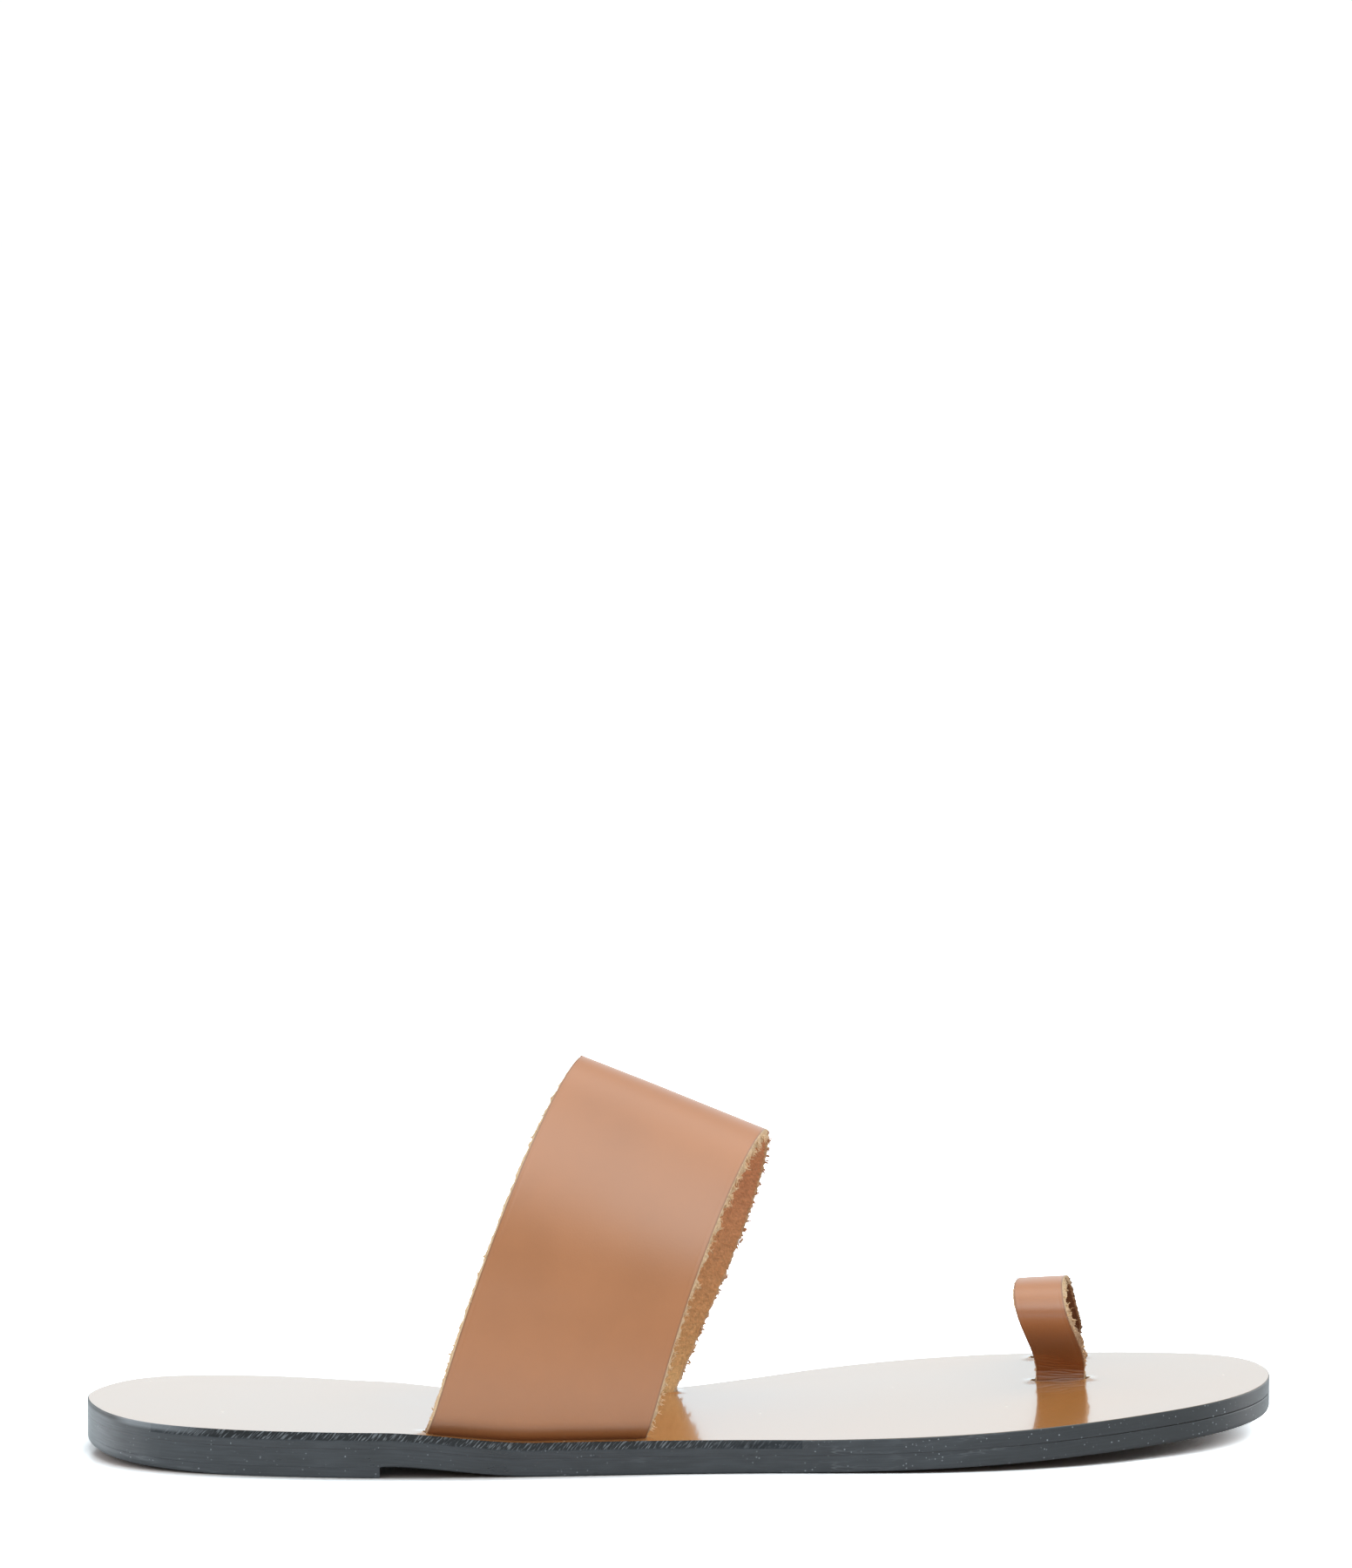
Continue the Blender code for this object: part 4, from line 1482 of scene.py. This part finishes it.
class SandalStudio(bpy.types.PropertyGroup):
    """Camera and light"""

    camera_turn: angle_property("Turn", "Camera's angle round the sandal", -4.0)
    camera_rise: angle_property("Rise", "Camera's angle above the floor", 11.0)
    distance: size_property("Distance", "From the camera to the aim point", 1400.0)
    lens: number_property("Lens", "Focal length in millimetres", 151.8)
    aim: bpy.props.FloatVectorProperty(
        name="Aim",
        description="Point on the floor that the framing is set by",
        unit="LENGTH",
        default=(-0.0016, -0.00215, 0.0),
    )
    aim_drop: number_property("Aim drop", "How far below the frame's middle the aim lies", 750.0 / 1800.0)
    floor: colour_property("Floor", "Pale studio floor, lit so that it burns out to white", (3.4, 3.4, 3.4))
    # Colour of the floor's painted shadow close under the sole
    floor_shade: colour_property("Floor shade", "Floor close under the sole", (0.36, 0.31, 0.29))
    floor_bounce: colour_property("Floor bounce", "Light that the floor throws back", (0.72, 0.72, 0.72))
    floor_reach: size_property("Floor reach", "Half the floor's width", 20000.0)
    back_light: colour_property("Back light", "Low surround behind the sandal", (1.02, 1.20, 1.29))
    side_light: colour_property("Side light", "Low surround past the heel and the toe", (2.7, 2.8, 2.9))
    front_light: colour_property("Front light", "Low surround on the camera's side", (0.36, 0.36, 0.37))
    top_light: colour_property("Top light", "Surround overhead, away from the bank", (0.12, 0.12, 0.125))
    bank_light: colour_property("Bank light", "Soft bank from the front over the top", (1.42, 1.57, 1.63))


class SANDAL_OT_stage(bpy.types.Operator):
    """Sets up the floor, the lights and the camera"""

    bl_idname = "sandal.stage"
    bl_label = "Stage"

    def execute(self, context):
        make_stage(context.scene.sandal_studio)
        return {"FINISHED"}


class SANDAL_OT_sole(bpy.types.Operator):
    """Makes the outsole and the heel lift"""

    bl_idname = "sandal.sole"
    bl_label = "Outsole and heel lift"

    def execute(self, context):
        finishes = make_finishes(context.scene.sandal_colours)
        make_outsole(context.scene.sandal_sizes, finishes)
        make_heel_lift(context.scene.sandal_sizes, finishes)
        return {"FINISHED"}


class SANDAL_OT_insole(bpy.types.Operator):
    """Makes the polished insole with its slots and their torn ends"""

    bl_idname = "sandal.insole"
    bl_label = "Insole"

    def execute(self, context):
        finishes = make_finishes(context.scene.sandal_colours)
        make_insole(context.scene.sandal_sizes, finishes)
        make_slot_lips(finishes)
        return {"FINISHED"}


class SANDAL_OT_instep_strap(bpy.types.Operator):
    """Makes the wide instep strap with its loose fibres"""

    bl_idname = "sandal.instep_strap"
    bl_label = "Instep strap"

    def execute(self, context):
        sizes, finishes = context.scene.sandal_sizes, make_finishes(context.scene.sandal_colours)
        shape = make_strip(INSTEP_STRAP, sizes, finishes)
        make_fibres(INSTEP_STRAP, shape, sizes, finishes, 11)
        return {"FINISHED"}


class SANDAL_OT_toe_loop(bpy.types.Operator):
    """Makes the toe loop with its creases and loose fibres"""

    bl_idname = "sandal.toe_loop"
    bl_label = "Toe loop"

    def execute(self, context):
        sizes, finishes = context.scene.sandal_sizes, make_finishes(context.scene.sandal_colours)
        shape = make_strip(TOE_LOOP, sizes, finishes, LOOP_CREASES)
        make_fibres(TOE_LOOP, shape, sizes, finishes, 23)
        return {"FINISHED"}


OPERATORS = (SANDAL_OT_stage, SANDAL_OT_sole, SANDAL_OT_insole, SANDAL_OT_instep_strap, SANDAL_OT_toe_loop)


class VIEW3D_PT_sandal(bpy.types.Panel):
    """Lists the sandal's operators and properties"""

    bl_label = "Sandal"
    bl_space_type = "VIEW_3D"
    bl_region_type = "UI"
    bl_category = "Sandal"

    def draw(self, context):
        for operator in OPERATORS:
            self.layout.operator(operator.bl_idname)
        scene = context.scene
        for group in (scene.sandal_sizes, scene.sandal_colours, scene.sandal_studio):
            for name in group.__annotations__:
                self.layout.prop(group, name)


CLASSES = (SandalSizes, SandalColours, SandalStudio, *OPERATORS, VIEW3D_PT_sandal)


def register():
    for cls in CLASSES:
        bpy.utils.register_class(cls)
    bpy.types.Scene.sandal_sizes = bpy.props.PointerProperty(type=SandalSizes)
    bpy.types.Scene.sandal_colours = bpy.props.PointerProperty(type=SandalColours)
    bpy.types.Scene.sandal_studio = bpy.props.PointerProperty(type=SandalStudio)


def unregister():
    del bpy.types.Scene.sandal_studio
    del bpy.types.Scene.sandal_colours
    del bpy.types.Scene.sandal_sizes
    for cls in reversed(CLASSES):
        bpy.utils.unregister_class(cls)


def main():
    register()
    bpy.ops.sandal.stage()
    bpy.ops.sandal.sole()
    bpy.ops.sandal.insole()
    bpy.ops.sandal.instep_strap()
    bpy.ops.sandal.toe_loop()


if __name__ == "__main__":
    main()
